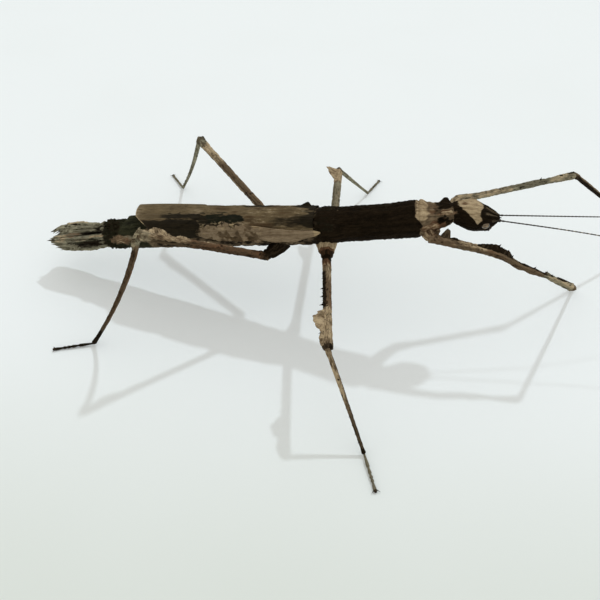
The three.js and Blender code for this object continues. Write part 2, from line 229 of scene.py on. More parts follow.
class Path:
    """A smooth line that is walked by its length in mm."""

    def __init__(self, points: Array, before: float = 0) -> None:
        """Measures the line.

        Args:
            points: closely spaced points along it.
            before: how much of it lies before the place that distances are counted from, in mm.
        """
        self.points = points
        steps = np.linalg.norm(np.diff(points, axis=0), axis=1)
        self.walked = np.concatenate([[0], np.cumsum(steps)]) - before
        self.length = float(self.walked[-1])

    @classmethod
    def through(cls, knots: Sequence[Sequence[float]], steps: int = 200, before: float = 0) -> "Path":
        """Makes a path through knots, without loops or overshoot.

        Args:
            knots: the points that it passes.
            steps: points made between two knots.
            before: as in the class.

        Returns:
            The path.
        """
        given = np.array(knots, float)
        k = np.vstack([2 * given[0] - given[1], given, 2 * given[-1] - given[-2]])
        made = []
        t = np.linspace(0, 1, steps, endpoint=False)[:, None]
        for a, b, c, d in zip(k, k[1:], k[2:], k[3:]):
            ab, bc, cd = (math.sqrt(np.linalg.norm(q - p)) for p, q in ((a, b), (b, c), (c, d)))
            out = ((b - a) / ab - (c - a) / (ab + bc) + (c - b) / bc) * bc
            back = ((c - b) / bc - (d - b) / (bc + cd) + (d - c) / cd) * bc
            made.append(b + out * t + (3 * (c - b) - 2 * out - back) * t**2
                        + (2 * (b - c) + out + back) * t**3)
        return cls(np.vstack([*made, given[-1:]]), before)

    @classmethod
    def bow(cls, start: Array, middle: Array, end: Array, steps: int = 80) -> "Path":
        """Makes a path that leaves towards a middle point and bends to its end."""
        t = np.linspace(0, 1, steps)[:, None]
        return cls((1 - t) ** 2 * start + 2 * t * (1 - t) * middle + t**2 * end)

    def frames(self, along: Array) -> Frames:
        """Finds places on the path, running straight on past its ends.

        Args:
            along: distances from its start, in mm.

        Returns:
            The frames there.
        """
        along = np.atleast_1d(np.asarray(along, float))
        slopes = unit(np.gradient(self.points, self.walked, axis=0))
        inside = np.clip(along, self.walked[0], self.length)
        pick, lean = (np.stack([np.interp(inside, self.walked, rows[:, axis]) for axis in range(3)], axis=-1)
                      for rows in (self.points, slopes))
        ahead = unit(lean)
        left = unit(np.cross(UP, ahead))
        return Frames(pick + ahead * (along - inside)[..., None], ahead, left, np.cross(ahead, left))

    def spot(self, along: float) -> Frames:
        """Finds one place on the path."""
        return self.frames(np.array([along])).first()

    def place(self, along: Array, radius: Array, turn: Array) -> Array:
        """Puts points round the path.

        Args:
            along: distances from its start, rows by columns, in mm.
            radius: rows by columns, in mm.
            turn: rows by columns, from the top towards the left, in radians.

        Returns:
            Points, rows by columns by 3.
        """
        at = self.frames(along)
        side = (radius * np.sin(turn))[..., None] * at.left
        return at.centre + side + (radius * np.cos(turn))[..., None] * at.up


@dataclass
class Surface:
    """A closed band of points in mm, with its marks and the grain's direction."""

    points: Array
    flow: Array
    marks: Marks = field(default_factory=dict)

    def faces(self, offset: int) -> tuple[Array, list[Array]]:
        """Joins the points.

        Args:
            offset: the number of the first point.

        Returns:
            The four-sided faces, and the faces that close the two ends.
        """
        rows, columns = self.points.shape[:2]
        index = offset + np.arange(rows * columns).reshape(rows, columns)
        beside = np.roll(index, -1, axis=1)
        quads = np.stack([index[:-1], beside[:-1], beside[1:], index[1:]], axis=-1)
        return quads.reshape(-1, 4), [index[0][::-1], index[-1]]

    def marked(self, marks: Marks) -> "Surface":
        """Takes on marks, and gives itself back."""
        self.marks = marks
        return self


def tube(path: Path, along: Array, sides: int, radius: Radius, seed: float = 0,
         floor: float | None = None) -> Surface:
    """Makes a surface round a path.

    Args:
        path: the line through it.
        along: the distances of its rings, in mm.
        sides: points in a ring.
        radius: gives the radius from the distance and the turn, in mm and radians.
        seed: moves the grain, so that no two limbs have the same.
        floor: the height that nothing goes below, in mm, if there is one.

    Returns:
        The surface, without marks.
    """
    turn = np.linspace(0, 2 * np.pi, sides, endpoint=False)
    rows, turn = np.broadcast_arrays(along[:, None], turn[None, :])
    size = np.broadcast_to(radius(rows, turn), turn.shape)
    points = path.place(rows, size, turn)
    if floor is not None:
        points[..., 2] = np.maximum(points[..., 2], floor)
    girth = max(float(np.median(size)), 0.3)
    return Surface(points, wrapped(rows + seed, girth, turn))


def thorn(base: Array, out: Array, length: float, width: float, bend: Array | float = 0,
          seed: float = 0, flat: float = 1) -> Surface:
    """Makes a thorn that stands on a flared foot.

    Args:
        base: the middle of its foot.
        out: the direction in which it stands.
        length: its height, in mm.
        width: half the width of its foot, in mm.
        bend: where the tip is moved, in mm.
        seed: moves the grain.
        flat: its thickness as a share of its width.

    Returns:
        The surface, without marks.
    """
    out = unit(out)
    tip = base + out * length + bend
    path = Path.bow(base - out * width * 0.6, base + out * length * 0.55, tip, 24)
    share = np.array([0, 0.12, 0.25, 0.42, 0.62, 0.8, 0.93, 1])

    def radius(along: Array, turn: Array) -> Array:
        """Half the thickness: wide at the foot, then slim up to the point."""
        girth = width * (0.04 + 0.96 * (1 - along / path.length) ** 1.5)
        return girth / np.hypot(np.sin(turn), np.cos(turn) / flat)

    return tube(path, share * path.length, 9, radius, seed)


def leaf(frames: Frames, out: Array, height: Array, thick: float, seed: float = 0) -> Surface:
    """Makes a thin leaf-like lobe that stands on a line.

    Args:
        frames: the line's frames, one for each row.
        out: the direction in which the lobe stands.
        height: its height in each row, in mm.
        thick: its thickness at the foot, in mm.
        seed: moves the grain.

    Returns:
        The surface, without marks.
    """
    share = np.array([0, 0.2, 0.4, 0.6, 0.78, 0.92, 1])
    slim = np.sqrt(np.clip(1 - share**2, 0, 1)) * 0.5 + 0.02
    out = unit(out)
    across = unit(np.cross(frames.ahead, out))
    middle = frames.centre[:, None, :] + (height[:, None] * share[None, :])[..., None] * out
    ends = rise(height, 0, 0.8)[:, None, None]
    puff = (slim * thick)[None, :, None] * across[:, None, :] * (0.3 + 0.7 * ends)
    points = np.concatenate([middle + puff, (middle - puff)[:, ::-1]], axis=1)
    rows = np.linspace(0, 10, len(height))[:, None] + seed
    high = np.concatenate([share, share[::-1]])[None, :] * height.max()
    return Surface(points, triple(high * 0.4 + seed, rows, high * 0.3))


def build(name: str, surfaces: Sequence[Surface], finish: bpy.types.Material, nodes: Sequence[str]) -> None:
    """Makes one piece of the model out of surfaces.

    Args:
        name: the piece's name.
        surfaces: what it consists of.
        finish: its material.
        nodes: the CAD nodes that it stands for.
    """
    faces, ends, start = [], [], 0
    for surface in surfaces:
        quads, caps = surface.faces(start)
        faces += quads.tolist()
        ends += [cap.tolist() for cap in caps]
        start += surface.points.shape[0] * surface.points.shape[1]
    mesh = bpy.data.meshes.new(name)
    points = np.vstack([surface.points.reshape(-1, 3) for surface in surfaces])
    mesh.from_pydata((points * MM).tolist(), [], faces + ends)
    for mark in Mark:
        values = [np.broadcast_to(s.marks.get(mark, 0), s.points.shape[:2]).ravel() for s in surfaces]
        layer = mesh.attributes.new(mark.value, "FLOAT", "POINT")
        layer.data.foreach_set("value", np.concatenate(values).astype(np.float32))
    flow = np.concatenate([surface.flow.reshape(-1) for surface in surfaces])
    mesh.attributes.new("flow", "FLOAT_VECTOR", "POINT").data.foreach_set("vector", flow.astype(np.float32))
    mesh.polygons.foreach_set("use_smooth", np.ones(len(mesh.polygons), bool))
    mesh.materials.append(finish)
    mesh.update()
    piece = bpy.data.objects.new(name, mesh)
    bpy.context.scene.collection.objects.link(piece)
    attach(piece, BODY)
    if nodes:
        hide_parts(*nodes)
    LOG.info("%s: %d faces for %s", name, len(mesh.polygons), ", ".join(nodes) or "a detail")


# ---- Finishes ----


class Group(Enum):
    """The effects that several finishes share."""

    STREAKS = "Fibre streaks"
    MOTTLE = "Uneven mottle"
    GRANULES = "Fine granules"
    LAYER = "Broken layer"


class Nodes:
    """A tree of nodes under way: each method adds a node and gives its output."""

    def __init__(self, tree: bpy.types.NodeTree) -> None:
        """Takes the tree."""
        self.tree = tree

    def put(self, socket: Socket, value: object) -> None:
        """Fills a socket.

        Args:
            socket: the input that is filled.
            value: a socket to link, or a number or colour to set.
        """
        if isinstance(value, Socket):
            self.tree.links.new(value, socket)
        else:
            socket.default_value = (*value, 1) if isinstance(value, tuple) else value

    def add(self, kind: str, inputs: dict[str | int, object], output: str | int = 0, **settings: object) -> Socket:
        """Adds a node.

        Args:
            kind: its type.
            inputs: a socket, a number or a colour for each input.
            output: which output is wanted.
            settings: its own options.

        Returns:
            The output.
        """
        node = self.tree.nodes.new("ShaderNode" + kind)
        for name, setting in settings.items():
            setattr(node, name, setting)
        for place, value in inputs.items():
            self.put(node.inputs[place], value)
        return node.outputs[output]

    def sum(self, operation: str, *values: object, clamp: bool = False) -> Socket:
        """Does one sum on sockets and numbers."""
        return self.add("Math", dict(enumerate(values)), operation=operation, use_clamp=clamp)

    def mix(self, share: object, first: object, second: object, mode: str = "MIX") -> Socket:
        """Mixes two colours in the given way."""
        return self.add("Mix", {0: share, 6: first, 7: second}, 2, data_type="RGBA", blend_type=mode)

    def smooth(self, value: Socket, low: float, high: float) -> Socket:
        """Goes smoothly from 0 to 1 as a value passes from low to high."""
        return self.add("MapRange", {"Value": value, "From Min": low, "From Max": high},
                        interpolation_type="SMOOTHSTEP")

    def contrast(self, value: Socket, factor: Socket) -> Socket:
        """Spreads a value about a half and keeps it between 0 and 1."""
        return self.sum("MULTIPLY_ADD", self.sum("SUBTRACT", value, 0.5), factor, 0.5, clamp=True)


class Effects:
    """Builds each shared effect once, as a shader node group."""

    def __init__(self) -> None:
        """Makes the four groups."""
        self.made: dict[Group, bpy.types.NodeTree] = {}
        self.start(Group.STREAKS, self.streaks, "Streak", Flow="Vector", Fineness=2, Stretch=0.12, Contrast=2.4)
        self.start(Group.MOTTLE, self.mottle, "Blotch", Flow="Vector", Scale=0.4, Contrast=2.2)
        self.start(Group.GRANULES, self.granules, "Grain", Flow="Vector", Scale=3)
        self.start(Group.LAYER, self.layer, "Colour", Below="Color", Light="Color", Deep="Color",
                   Mask=0, Streak=0.5, Breakup=0.5)

    def start(self, group: Group, fill: Callable[[Nodes, bpy.types.NodeOutputs], Socket], output: str,
              **inputs: float | str) -> None:
        """Makes a group.

        Args:
            group: which one.
            fill: adds its nodes and gives the result.
            output: the name of the result.
            inputs: the usual number of each input, or its kind.
        """
        tree = bpy.data.node_groups.new(group.value, "ShaderNodeTree")
        for label, usual in inputs.items():
            kind = usual if isinstance(usual, str) else "Float"
            socket = tree.interface.new_socket(label, in_out="INPUT", socket_type=f"NodeSocket{kind}")
            if kind == "Float":
                socket.default_value = usual
        kind = "Color" if output == "Colour" else "Float"
        tree.interface.new_socket(output, in_out="OUTPUT", socket_type=f"NodeSocket{kind}")
        given, end = tree.nodes.new("NodeGroupInput"), tree.nodes.new("NodeGroupOutput")
        tree.links.new(fill(Nodes(tree), given.outputs), end.inputs[0])
        self.made[group] = tree

    @staticmethod
    def streaks(nodes: Nodes, given: bpy.types.NodeOutputs) -> Socket:
        """Fine fibres that run along the limb or body.

        Args:
            nodes: the group's tree.
            given: the group's inputs.

        Returns:
            The streaks.
        """
        axes = nodes.add("CombineXYZ", {0: given["Stretch"], 1: 1, 2: 1})
        squeezed = nodes.add("VectorMath", {0: given["Flow"], 1: axes}, operation="MULTIPLY")
        noise = nodes.add("TexNoise", {"Detail": 5, "Roughness": 0.62, "Vector": squeezed,
                                       "Scale": given["Fineness"]})
        return nodes.contrast(noise, given["Contrast"])

    @staticmethod
    def mottle(nodes: Nodes, given: bpy.types.NodeOutputs) -> Socket:
        """Soft uneven blotches.

        Args:
            nodes: the group's tree.
            given: the group's inputs.

        Returns:
            The blotches.
        """
        noise = nodes.add("TexNoise", {"Detail": 4, "Distortion": 0.6, "Vector": given["Flow"],
                                       "Scale": given["Scale"]})
        return nodes.contrast(noise, given["Contrast"])

    @staticmethod
    def granules(nodes: Nodes, given: bpy.types.NodeOutputs) -> Socket:
        """Tiny rounded grains.

        Args:
            nodes: the group's tree.
            given: the group's inputs.

        Returns:
            The grains.
        """
        cells = nodes.add("TexVoronoi", {"Smoothness": 0.35, "Vector": given["Flow"], "Scale": given["Scale"]},
                          "Distance", feature="SMOOTH_F1")
        return nodes.smooth(cells, 0.65, 0.1)

    @staticmethod
    def layer(nodes: Nodes, given: bpy.types.NodeOutputs) -> Socket:
        """A two-tone colour laid over another through a mask with broken edges.

        Args:
            nodes: the group's tree.
            given: the group's inputs.

        Returns:
            The colour.
        """
        tones = nodes.mix(given["Streak"], given["Light"], given["Deep"])
        shift = nodes.sum("SUBTRACT", 0.5, given["Streak"])
        torn = nodes.sum("MULTIPLY_ADD", shift, given["Breakup"], given["Mask"])
        return nodes.mix(nodes.smooth(torn, 0.22, 0.78), given["Below"], tones)


class Bench(Nodes):
    """A material under way, with its shader."""

    def __init__(self, name: str, effects: Effects) -> None:
        """Starts a material.

        Args:
            name: the material's name.
            effects: the shared node groups.
        """
        self.material = bpy.data.materials.new(name)
        self.material.use_nodes = True
        super().__init__(self.material.node_tree)
        self.shader = self.tree.nodes["Principled BSDF"].inputs
        self.effects = effects

    def attribute(self, name: str) -> Socket:
        """Reads a mark, or the flow, off the surface."""
        return self.add("Attribute", {}, "Vector" if name == "flow" else "Fac", attribute_name=name)

    def group(self, kind: Group, **values: object) -> Socket:
        """Places a shared effect.

        Args:
            kind: which one.
            values: a socket, a number or a colour for each input.

        Returns:
            The effect's output.
        """
        node = self.tree.nodes.new("ShaderNodeGroup")
        node.node_tree = self.effects.made[kind]
        for label, value in values.items():
            self.put(node.inputs[label], value)
        return node.outputs[0]

    def fibres(self, flow: Socket, size: tuple[float, float, float]) -> Socket:
        """Places streaks of one fineness, stretch and contrast."""
        fineness, stretch, contrast = size
        return self.group(Group.STREAKS, Flow=flow, Fineness=fineness, Stretch=stretch, Contrast=contrast)

    def layer(self, below: Socket, tones: "Tones", mark: Mark, streak: Socket, torn: float) -> Socket:
        """Lays two tones over a colour where a mark is."""
        return self.group(Group.LAYER, Below=below, Light=tones.light, Deep=tones.deep,
                          Mask=self.attribute(mark.value), Streak=streak, Breakup=torn)

    def surface(self, colour: Socket, rough: object, height: Socket, depth: float,
                shine: float) -> bpy.types.Material:
        """Joins everything to the shader.

        Args:
            colour: the base colour.
            rough: the roughness.
            height: what the bump follows.
            depth: the bump's depth, in mm.
            shine: the specular level.

        Returns:
            The finished material.
        """
        bump = self.add("Bump", {"Distance": depth * MM, "Strength": 1, "Height": height})
        for label, value in (("Normal", bump), ("Base Color", colour), ("Roughness", rough),
                             ("Specular IOR Level", shine)):
            self.put(self.shader[label], value)
        return self.material


@dataclass(frozen=True)
class Tones:
    """The light and deep tone of one kind of mark."""

    light: Colour
    deep: Colour

    @classmethod
    def of(cls, light: tuple[int, int, int], deep: tuple[int, int, int]) -> "Tones":
        """Takes the two tones as a painter would name them."""
        return cls(linear(*light), linear(*deep))


@dataclass(frozen=True)
class LayeredHide:
    """A matt hide of two ground tones, with a layer of colour for each kind of mark, painted shade in its hollows
    and a painted highlight on its raised grains.
    """

    name: str
    ground: Tones
    layers: tuple[tuple[Mark, Tones, float], ...]
    streak: tuple[float, float, float]
    fine: tuple[float, float, float]
    blotch: tuple[float, float]
    grain: float
    shares: tuple[float, float, float]
    # strength and colour of the painted shade in hollows, also used for dark spots
    groove: tuple[float, Colour]
    # strength and colour of the painted highlight on the raised grains
    grain_highlight: tuple[float, Colour]
    rough: float
    uneven: float
    raised: float
    depth: float
    shine: float
    ribbed: bool = False

    def make(self, effects: Effects) -> bpy.types.Material:
        """Builds the material.

        Args:
            effects: the shared node groups.

        Returns:
            The material.
        """
        bench = Bench(self.name, effects)
        flow = bench.attribute("flow")
        streak, fine = bench.fibres(flow, self.streak), bench.fibres(flow, self.fine)
        blotch = bench.group(Group.MOTTLE, Flow=flow, Scale=self.blotch[0], Contrast=self.blotch[1])
        grain = bench.group(Group.GRANULES, Flow=flow, Scale=self.grain)
        share = bench.sum("MULTIPLY", streak, self.shares[0])
        for part, value in zip((fine, blotch), self.shares[1:]):
            share = bench.sum("MULTIPLY_ADD", part, value, share)
        colour = bench.mix(share, self.ground.light, self.ground.deep)
        for mark, tones, torn in self.layers:
            colour = bench.layer(colour, tones, mark, share, torn)
        # painted shade in the hollows, and dark spots where marked
        groove = bench.sum("MULTIPLY", bench.attribute(GROOVE.value), self.groove[0], clamp=True)
        colour = bench.mix(groove, colour, self.groove[1])
        # painted highlight on the tops of the raised grains
        colour = bench.mix(bench.sum("MULTIPLY", grain, self.grain_highlight[0]), colour, self.grain_highlight[1], "SOFT_LIGHT")
        rough = bench.sum("MULTIPLY_ADD", fine, self.uneven, self.rough)
        under = bench.sum("MULTIPLY_ADD", fine, -0.5, streak) if self.ribbed else share
        height = bench.sum("MULTIPLY_ADD", grain, self.raised, under)
        return bench.surface(colour, rough, height, self.depth, self.shine)


BARK_SKIN = LayeredHide(
    "bark_skin", Tones.of((146, 127, 101), (48, 37, 26)),
    ((GREY, Tones.of((172, 167, 142), (50, 46, 33)), 0.5), (RUST, Tones.of((122, 92, 68), (52, 34, 23)), 0.7),
     (PALE, Tones.of((202, 182, 148), (104, 84, 60)), 0.75), (MOSS, Tones.of((60, 60, 42), (13, 13, 8)), 0.8),
     (DARK, Tones.of((38, 29, 18), (9, 6, 3)), 0.8)),
    streak=(0.75, 0.17, 4.2), fine=(2.3, 0.25, 3.8), blotch=(0.4, 3), grain=2.2, shares=(0.42, 0.38, 0.2),
    # painted shade colour for the hollows, then painted highlight colour for the raised grains
    groove=(0.85, linear(18, 13, 8)), grain_highlight=(0.25, linear(150, 138, 116)), rough=0.7, uneven=0.2, raised=0.6,
    depth=0.16, shine=0.03, ribbed=True)

WING_LEATHER = LayeredHide(
    "wing_leather", Tones.of((122, 106, 78), (58, 47, 32)),
    ((GREY, Tones.of((158, 142, 114), (90, 75, 54)), 0.6), (RUST, Tones.of((94, 76, 52), (48, 36, 24)), 0.5),
     (MOSS, Tones.of((31, 33, 20), (6, 7, 3)), 0.9), (DARK, Tones.of((44, 37, 24), (12, 9, 5)), 0.8),
     (PALE, Tones.of((188, 168, 132), (118, 98, 70)), 0.45)),
    streak=(0.9, 0.08, 3.2), fine=(2.7, 0.16, 3.2), blotch=(0.28, 2.6), grain=3, shares=(0.37, 0.33, 0.3),
    # painted shade colour for the hollows, then painted highlight colour for the raised grains
    groove=(0.8, linear(20, 15, 9)), grain_highlight=(0.2, linear(146, 132, 104)), rough=0.58, uneven=0.18, raised=0.4,
    depth=0.1, shine=0.05)

TEGMEN_LEATHER = replace(
    WING_LEATHER, name="tegmen_leather", ground=Tones.of((158, 140, 114), (78, 62, 44)),
    streak=(0.8, 0.08, 3.2), fine=(2.4, 0.16, 3.2), depth=0.16, rough=0.67)


@dataclass(frozen=True)
class DarkHorn:
    """Feelers, claws and mouthparts: dark, smooth and slightly glossy, with pale rings where marked."""

    tones: Tones = Tones.of((58, 48, 36), (18, 14, 10))
    ring: Colour = linear(176, 166, 146)
    fibres: tuple[float, float, float] = (3, 0.3, 2)
    torn: float = 0.2
    rough: float = 0.4
    uneven: float = 0.15
    depth: float = 0.05
    shine: float = 0.3

    def make(self, effects: Effects) -> bpy.types.Material:
        """Builds the material.

        Args:
            effects: the shared node groups.

        Returns:
            The material.
        """
        bench = Bench("dark_horn", effects)
        streak = bench.fibres(bench.attribute("flow"), self.fibres)
        colour = bench.mix(streak, self.tones.light, self.tones.deep)
        colour = bench.layer(colour, Tones(self.ring, self.tones.light), PALE, streak, self.torn)
        rough = bench.sum("MULTIPLY_ADD", streak, self.uneven, self.rough)
        return bench.surface(colour, rough, streak, self.depth, self.shine)


@dataclass(frozen=True)
class FacetEye:
    """The compound eye: a glossy brown dome with fine facets and darker lengthwise stripes."""

    tones: Tones = Tones.of((150, 128, 98), (60, 46, 32))
    stripes: Tones = Tones.of((46, 34, 22), (14, 9, 6))
    rim: Colour = linear(170, 146, 112)
    rim_share: float = 0.2
    facets: float = 9
    fibres: tuple[float, float, float] = (1.6, 0.25, 4)
    torn: float = 0.4
    rough: float = 0.35
    coat: float = 0.35
    coat_rough: float = 0.12
    depth: float = 0.03
    shine: float = 0.3

    def make(self, effects: Effects) -> bpy.types.Material:
        """Builds the material.

        Args:
            effects: the shared node groups.

        Returns:
            The material.
        """
        bench = Bench("facet_eye", effects)
        flow = bench.attribute("flow")
        facets = bench.group(Group.GRANULES, Flow=flow, Scale=self.facets)
        blotch = bench.fibres(flow, self.fibres)
        colour = bench.mix(blotch, self.tones.light, self.tones.deep)
        colour = bench.layer(colour, self.stripes, DARK, blotch, self.torn)
        colour = bench.mix(bench.sum("MULTIPLY", facets, self.rim_share), colour, self.rim)
        bench.put(bench.shader["Coat Weight"], self.coat)
        bench.put(bench.shader["Coat Roughness"], self.coat_rough)
        return bench.surface(colour, self.rough, facets, self.depth, self.shine)


@dataclass(frozen=True)
class PaleFloor:
    """A plain pale floor, a little cooler behind than in front, with painted shade that darkens it towards the
    front.
    """

    front: Colour = linear(219, 225, 219)
    back: Colour = linear(240, 245, 246)
    fade: tuple[float, float] = (-0.15, -0.02)
    slant: float = 0.1
    patches: float = 9
    patchy: float = 0.3
    rough: float = 0.8
    depth: float = 0.02
    shine: float = 0.1

    def make(self, effects: Effects) -> bpy.types.Material:
        """Builds the material.

        Args:
            effects: the shared node groups.

        Returns:
            The material.
        """
        bench = Bench("pale_floor", effects)
        place = bench.add("NewGeometry", {}, "Position")
        along, away = (bench.add("SeparateXYZ", {0: place}, axis) for axis in (0, 1))
        # painted shade: the floor fades from the darker front colour to the back colour
        fade = bench.smooth(bench.sum("MULTIPLY_ADD", along, self.slant, away), *self.fade)
        noise = bench.add("TexNoise", {"Scale": self.patches, "Vector": place})
        uneven = bench.sum("MULTIPLY_ADD", noise, self.patchy, fade)
        colour = bench.mix(bench.sum("SUBTRACT", uneven, self.patchy / 2, clamp=True), self.front, self.back)
        return bench.surface(colour, self.rough, noise, self.depth, self.shine)


class Finishes:
    """The model's materials, each made once."""

    def __init__(self) -> None:
        """Makes them all."""
        effects = Effects()
        self.skin = BARK_SKIN.make(effects)
        self.wing = WING_LEATHER.make(effects)
        self.tegmen = TEGMEN_LEATHER.make(effects)
        self.horn = DarkHorn().make(effects)
        self.eye = FacetEye().make(effects)
        self.floor = PaleFloor().make(effects)


# ---- Trunk ----

BODY_LINE = Path.through(np.array([
    (-106.2, 24.2, 11.9), (-72.5, 17.3, 21.4), (-30.8, 7.9, 30.4), (10.9, -1.5, 39.3),
    (40.8, -7.3, 47.6), (54.5, -8.2, 50.3), (69.2, -8.9, 49.1)]) - MIDDLE, before=1.7)

# Stations along the body line, in mm.
TAIL_TIP = 1.5
TAIL_ROOT = 28
KNOBS = 29.5
PLATE = 37.5
BELLY = 49
CHEST = 117
COLLAR = 153.4
SKULL = 164.4
SNOUT = 181.7


@dataclass(frozen=True)
class Spot:
    """A soft-edged oval mark: its middle, its half sizes along and round the body, and its strength."""

    mark: Mark
    station: float
    turn: float
    length: float
    width: float
    strength: float = 1

    def share(self, station: Array, turn: Array, ragged: Array) -> Array:
        """Says how strongly the mark shows.

        Args:
            station: distances along the body, in mm.
            turn: turns from the top to the left, in degrees.
            ragged: noise that breaks the edge.

        Returns:
            Values from 0 to the mark's strength.
        """
        away = around(turn - self.turn)
        distance = np.hypot((station - self.station) / self.length, away / self.width) + 0.3 * ragged
        return self.strength * fall(distance, 0.55, 1.3)


@dataclass
class Trunk:
    """The body from the frayed tail to the front of the head, as one skin."""

    sides: int = 192
    # station, half width, height above the line, depth below it; all in mm
    profile: tuple[tuple[float, float, float, float], ...] = (
        (1.5, 4.3, 3.2, 3.4), (4, 4.9, 3.8, 4.4), (8, 5.4, 4.5, 5.3), (14, 5.7, 4.5, 6.2), (20, 5.5, 4, 6.4),
        (25.5, 5.1, 3.7, 6.4), (28, 5.3, 4.3, 6.2), (31, 5.7, 5.1, 6.5), (35.5, 5.3, 4, 6.6),
        (37, 5.6, 4.6, 6.7), (39, 6, 5.2, 6.8), (43, 6.1, 5.3, 6.9), (50, 6.1, 5.3, 7.1), (75, 6.2, 5.5, 7),
        (84, 6.2, 5.6, 6.4), (98, 6.1, 5.7, 6.2), (110, 6.1, 5.8, 6.2), (116, 6.4, 6.5, 6),
        (118.5, 7.1, 7.9, 5.5), (121.5, 6.9, 7.7, 5.3), (127, 6.2, 7, 5.4), (137, 5.9, 6.8, 5.8),
        (145, 6, 6.5, 6.1), (151, 6.3, 6.6, 6.4), (153.2, 6.5, 6.4, 6.5), (154, 6.4, 6.4, 6.4),
        (155.2, 5.9, 5.9, 5.9), (156.6, 5.2, 5.1, 5.4), (158.4, 5, 4.8, 5.1), (161, 4.7, 4.8, 4.3),
        (162.6, 4.1, 4.7, 3.4), (164.6, 3.6, 4.4, 2.7), (166, 3.9, 4.5, 3.3), (168, 4.5, 4.8, 4.3),
        (170, 5, 5.1, 5.2), (172, 5.1, 4.9, 5.8), (173.5, 4.9, 4.2, 5.9), (175, 4.6, 3.6, 5.8),
        (176.8, 4.2, 2.7, 5.3), (178.2, 3.4, 2.1, 4.3), (179.4, 2.6, 1.7, 3.1), (180.5, 1.7, 1.2, 1.9),
        (181.3, 1, 0.8, 1), (181.7, 0.3, 0.3, 0.3))
    # the mark, then station, turn, length, width and strength
    spots: tuple[tuple[Mark, float, float, float, float, float], ...] = (
        # frayed tail
        (DARK, 24, -47, 6.5, 9, 1), (DARK, 13.5, 24, 7, 6, 0.9), (DARK, 22.5, -106, 8, 26, 0.7),
        (MOSS, 21, -90, 7, 20, 0.6), (RUST, 15, -46, 4.5, 15, 0.45), (DARK, 14, -80, 2.6, 6, 0.5),
        (DARK, 18.5, -20, 5, 6, 0.5), (DARK, 26, -14, 4, 8, 0.7), (PALE, 8, -58, 4.6, 24, 0.45),
        (PALE, 26.5, -64, 4.5, 6, 0.7), (PALE, 13, 43, 7, 10, 0.5), (PALE, 19, -72, 4, 6, 0.5),
        # flank lobe in front of it
        (PALE, 36.5, -86, 3.6, 19, 0.4), (RUST, 37, -90, 5, 24, 0.6), (GREY, 41, -76, 3, 10, 0.5),
        # collar and back of the chest
        (PALE, 155, 0, 1.9, 60, 1), (PALE, 155, -40, 2, 24, 1), (PALE, 155.2, 70, 2, 50, 0.8),
        (RUST, 158.4, -12, 2.2, 34, 0.45), (DARK, 160.4, 20, 1.6, 30, 0.6), (DARK, 160.2, -28, 1.2, 8, 0.5),
        (PALE, 158, -20, 1.1, 6, 0.5), (PALE, 158.2, 8, 1.1, 5, 0.4), (PALE, 129.6, 20, 0.25, 3, 0.7),
        (PALE, 136.2, 12, 0.25, 3, 0.7), (PALE, 125.8, -4, 0.25, 3, 0.6), (PALE, 162.6, -45, 2.3, 9, 0.5),
        (RUST, 162.6, -44, 3, 13, 0.7), (PALE, 164, -40, 0.6, 6, 1), (PALE, 157.4, -92, 3, 17, 0.4),
        (RUST, 158.6, -98, 4.6, 30, 0.85), (PALE, 157, 120, 3.4, 40, 0.5), (DARK, 162.9, 12, 2.6, 36, 1),
        (DARK, 162, -14, 2.4, 12, 0.8), (DARK, 161.2, -75, 2, 15, 1), (RUST, 161.7, -68, 0.6, 5, 0.9),
        (DARK, 158.6, -107, 0.8, 7, 0.9), (DARK, 162.8, -92, 1, 20, 0.8))
    # height, station, turn, length and width of what stands out, or is cut in where it is below 0
    tail_mounds: tuple[tuple[float, ...], ...] = (
        (-1.3, 24, -47, 6, 8), (-0.9, 13.5, 24, 7.5, 5), (0.9, 9, -56, 5, 18))
    collar_mounds: tuple[tuple[float, ...], ...] = (
        (-1.1, 161.2, -75, 1.4, 12), (0.7, 162.8, -44, 1.6, 9), (0.5, 164, -40, 0.6, 6), (1, 158.6, -96, 2.6, 22))
    # the head's: hollow and its rim, brow, cheek and eye socket, alike on both sides
    head_mounds: tuple[tuple[float, ...], ...] = (
        (-0.6, 168, 0, 1.7, 14), (0.25, 168, 20, 2.6, 7), (0.3, 171.6, 42, 1.6, 16), (0.25, 171.5, 120, 2.6, 22),
        (0.3, 175.4, 98, 2.1, 26))
    # turn in degrees, and the station where the frayed end begins there
    fray_line: tuple[tuple[float, float], ...] = (
        (-180, 4), (-150, 5.5), (-125, 7.2), (-100, 5.2), (-80, 3.6), (-66, 2.4), (-52, 2.6), (-42, 3.6),
        (-33, 6.2), (-24, 8.8), (-15, 8.4), (-6, 7.6), (5, 8), (20, 8.2), (34, 7.9), (50, 7.6), (80, 5),
        (110, 3), (145, 3.2), (180, 4))
    # turn, veer, root, reach, width and flare of the largest splinters
    big_splinters: tuple[tuple[float, ...], ...] = (
        (32, 38, 12, 2.2, 1.8, 0.5), (24, 34, 11, 3.4, 1.5, 0.3), (-12, 10, 13, 5, 0.8, 0.2),
        (46, 0, 21, 7.6, 1.2, 0.9), (30, 0, 19, 8, 1, 0.5), (-56, 6, 12, 1.6, 1, 0.5), (-66, -4, 12, 1.2, 0.8, 0.4),
        (-92, -8, 14, 3, 0.9, 0.5), (-118, 8, 17, 5, 0.9, 0.9), (-104, 0, 13, 4.4, 0.7, 0.8))
    small_splinters: int = 44

    def fray(self, turn: Array) -> Array:
        """Says at which station the frayed end begins on each side, in mm."""
        return np.interp(np.degrees(np.arctan2(np.sin(turn), np.cos(turn))), *zip(*self.fray_line))

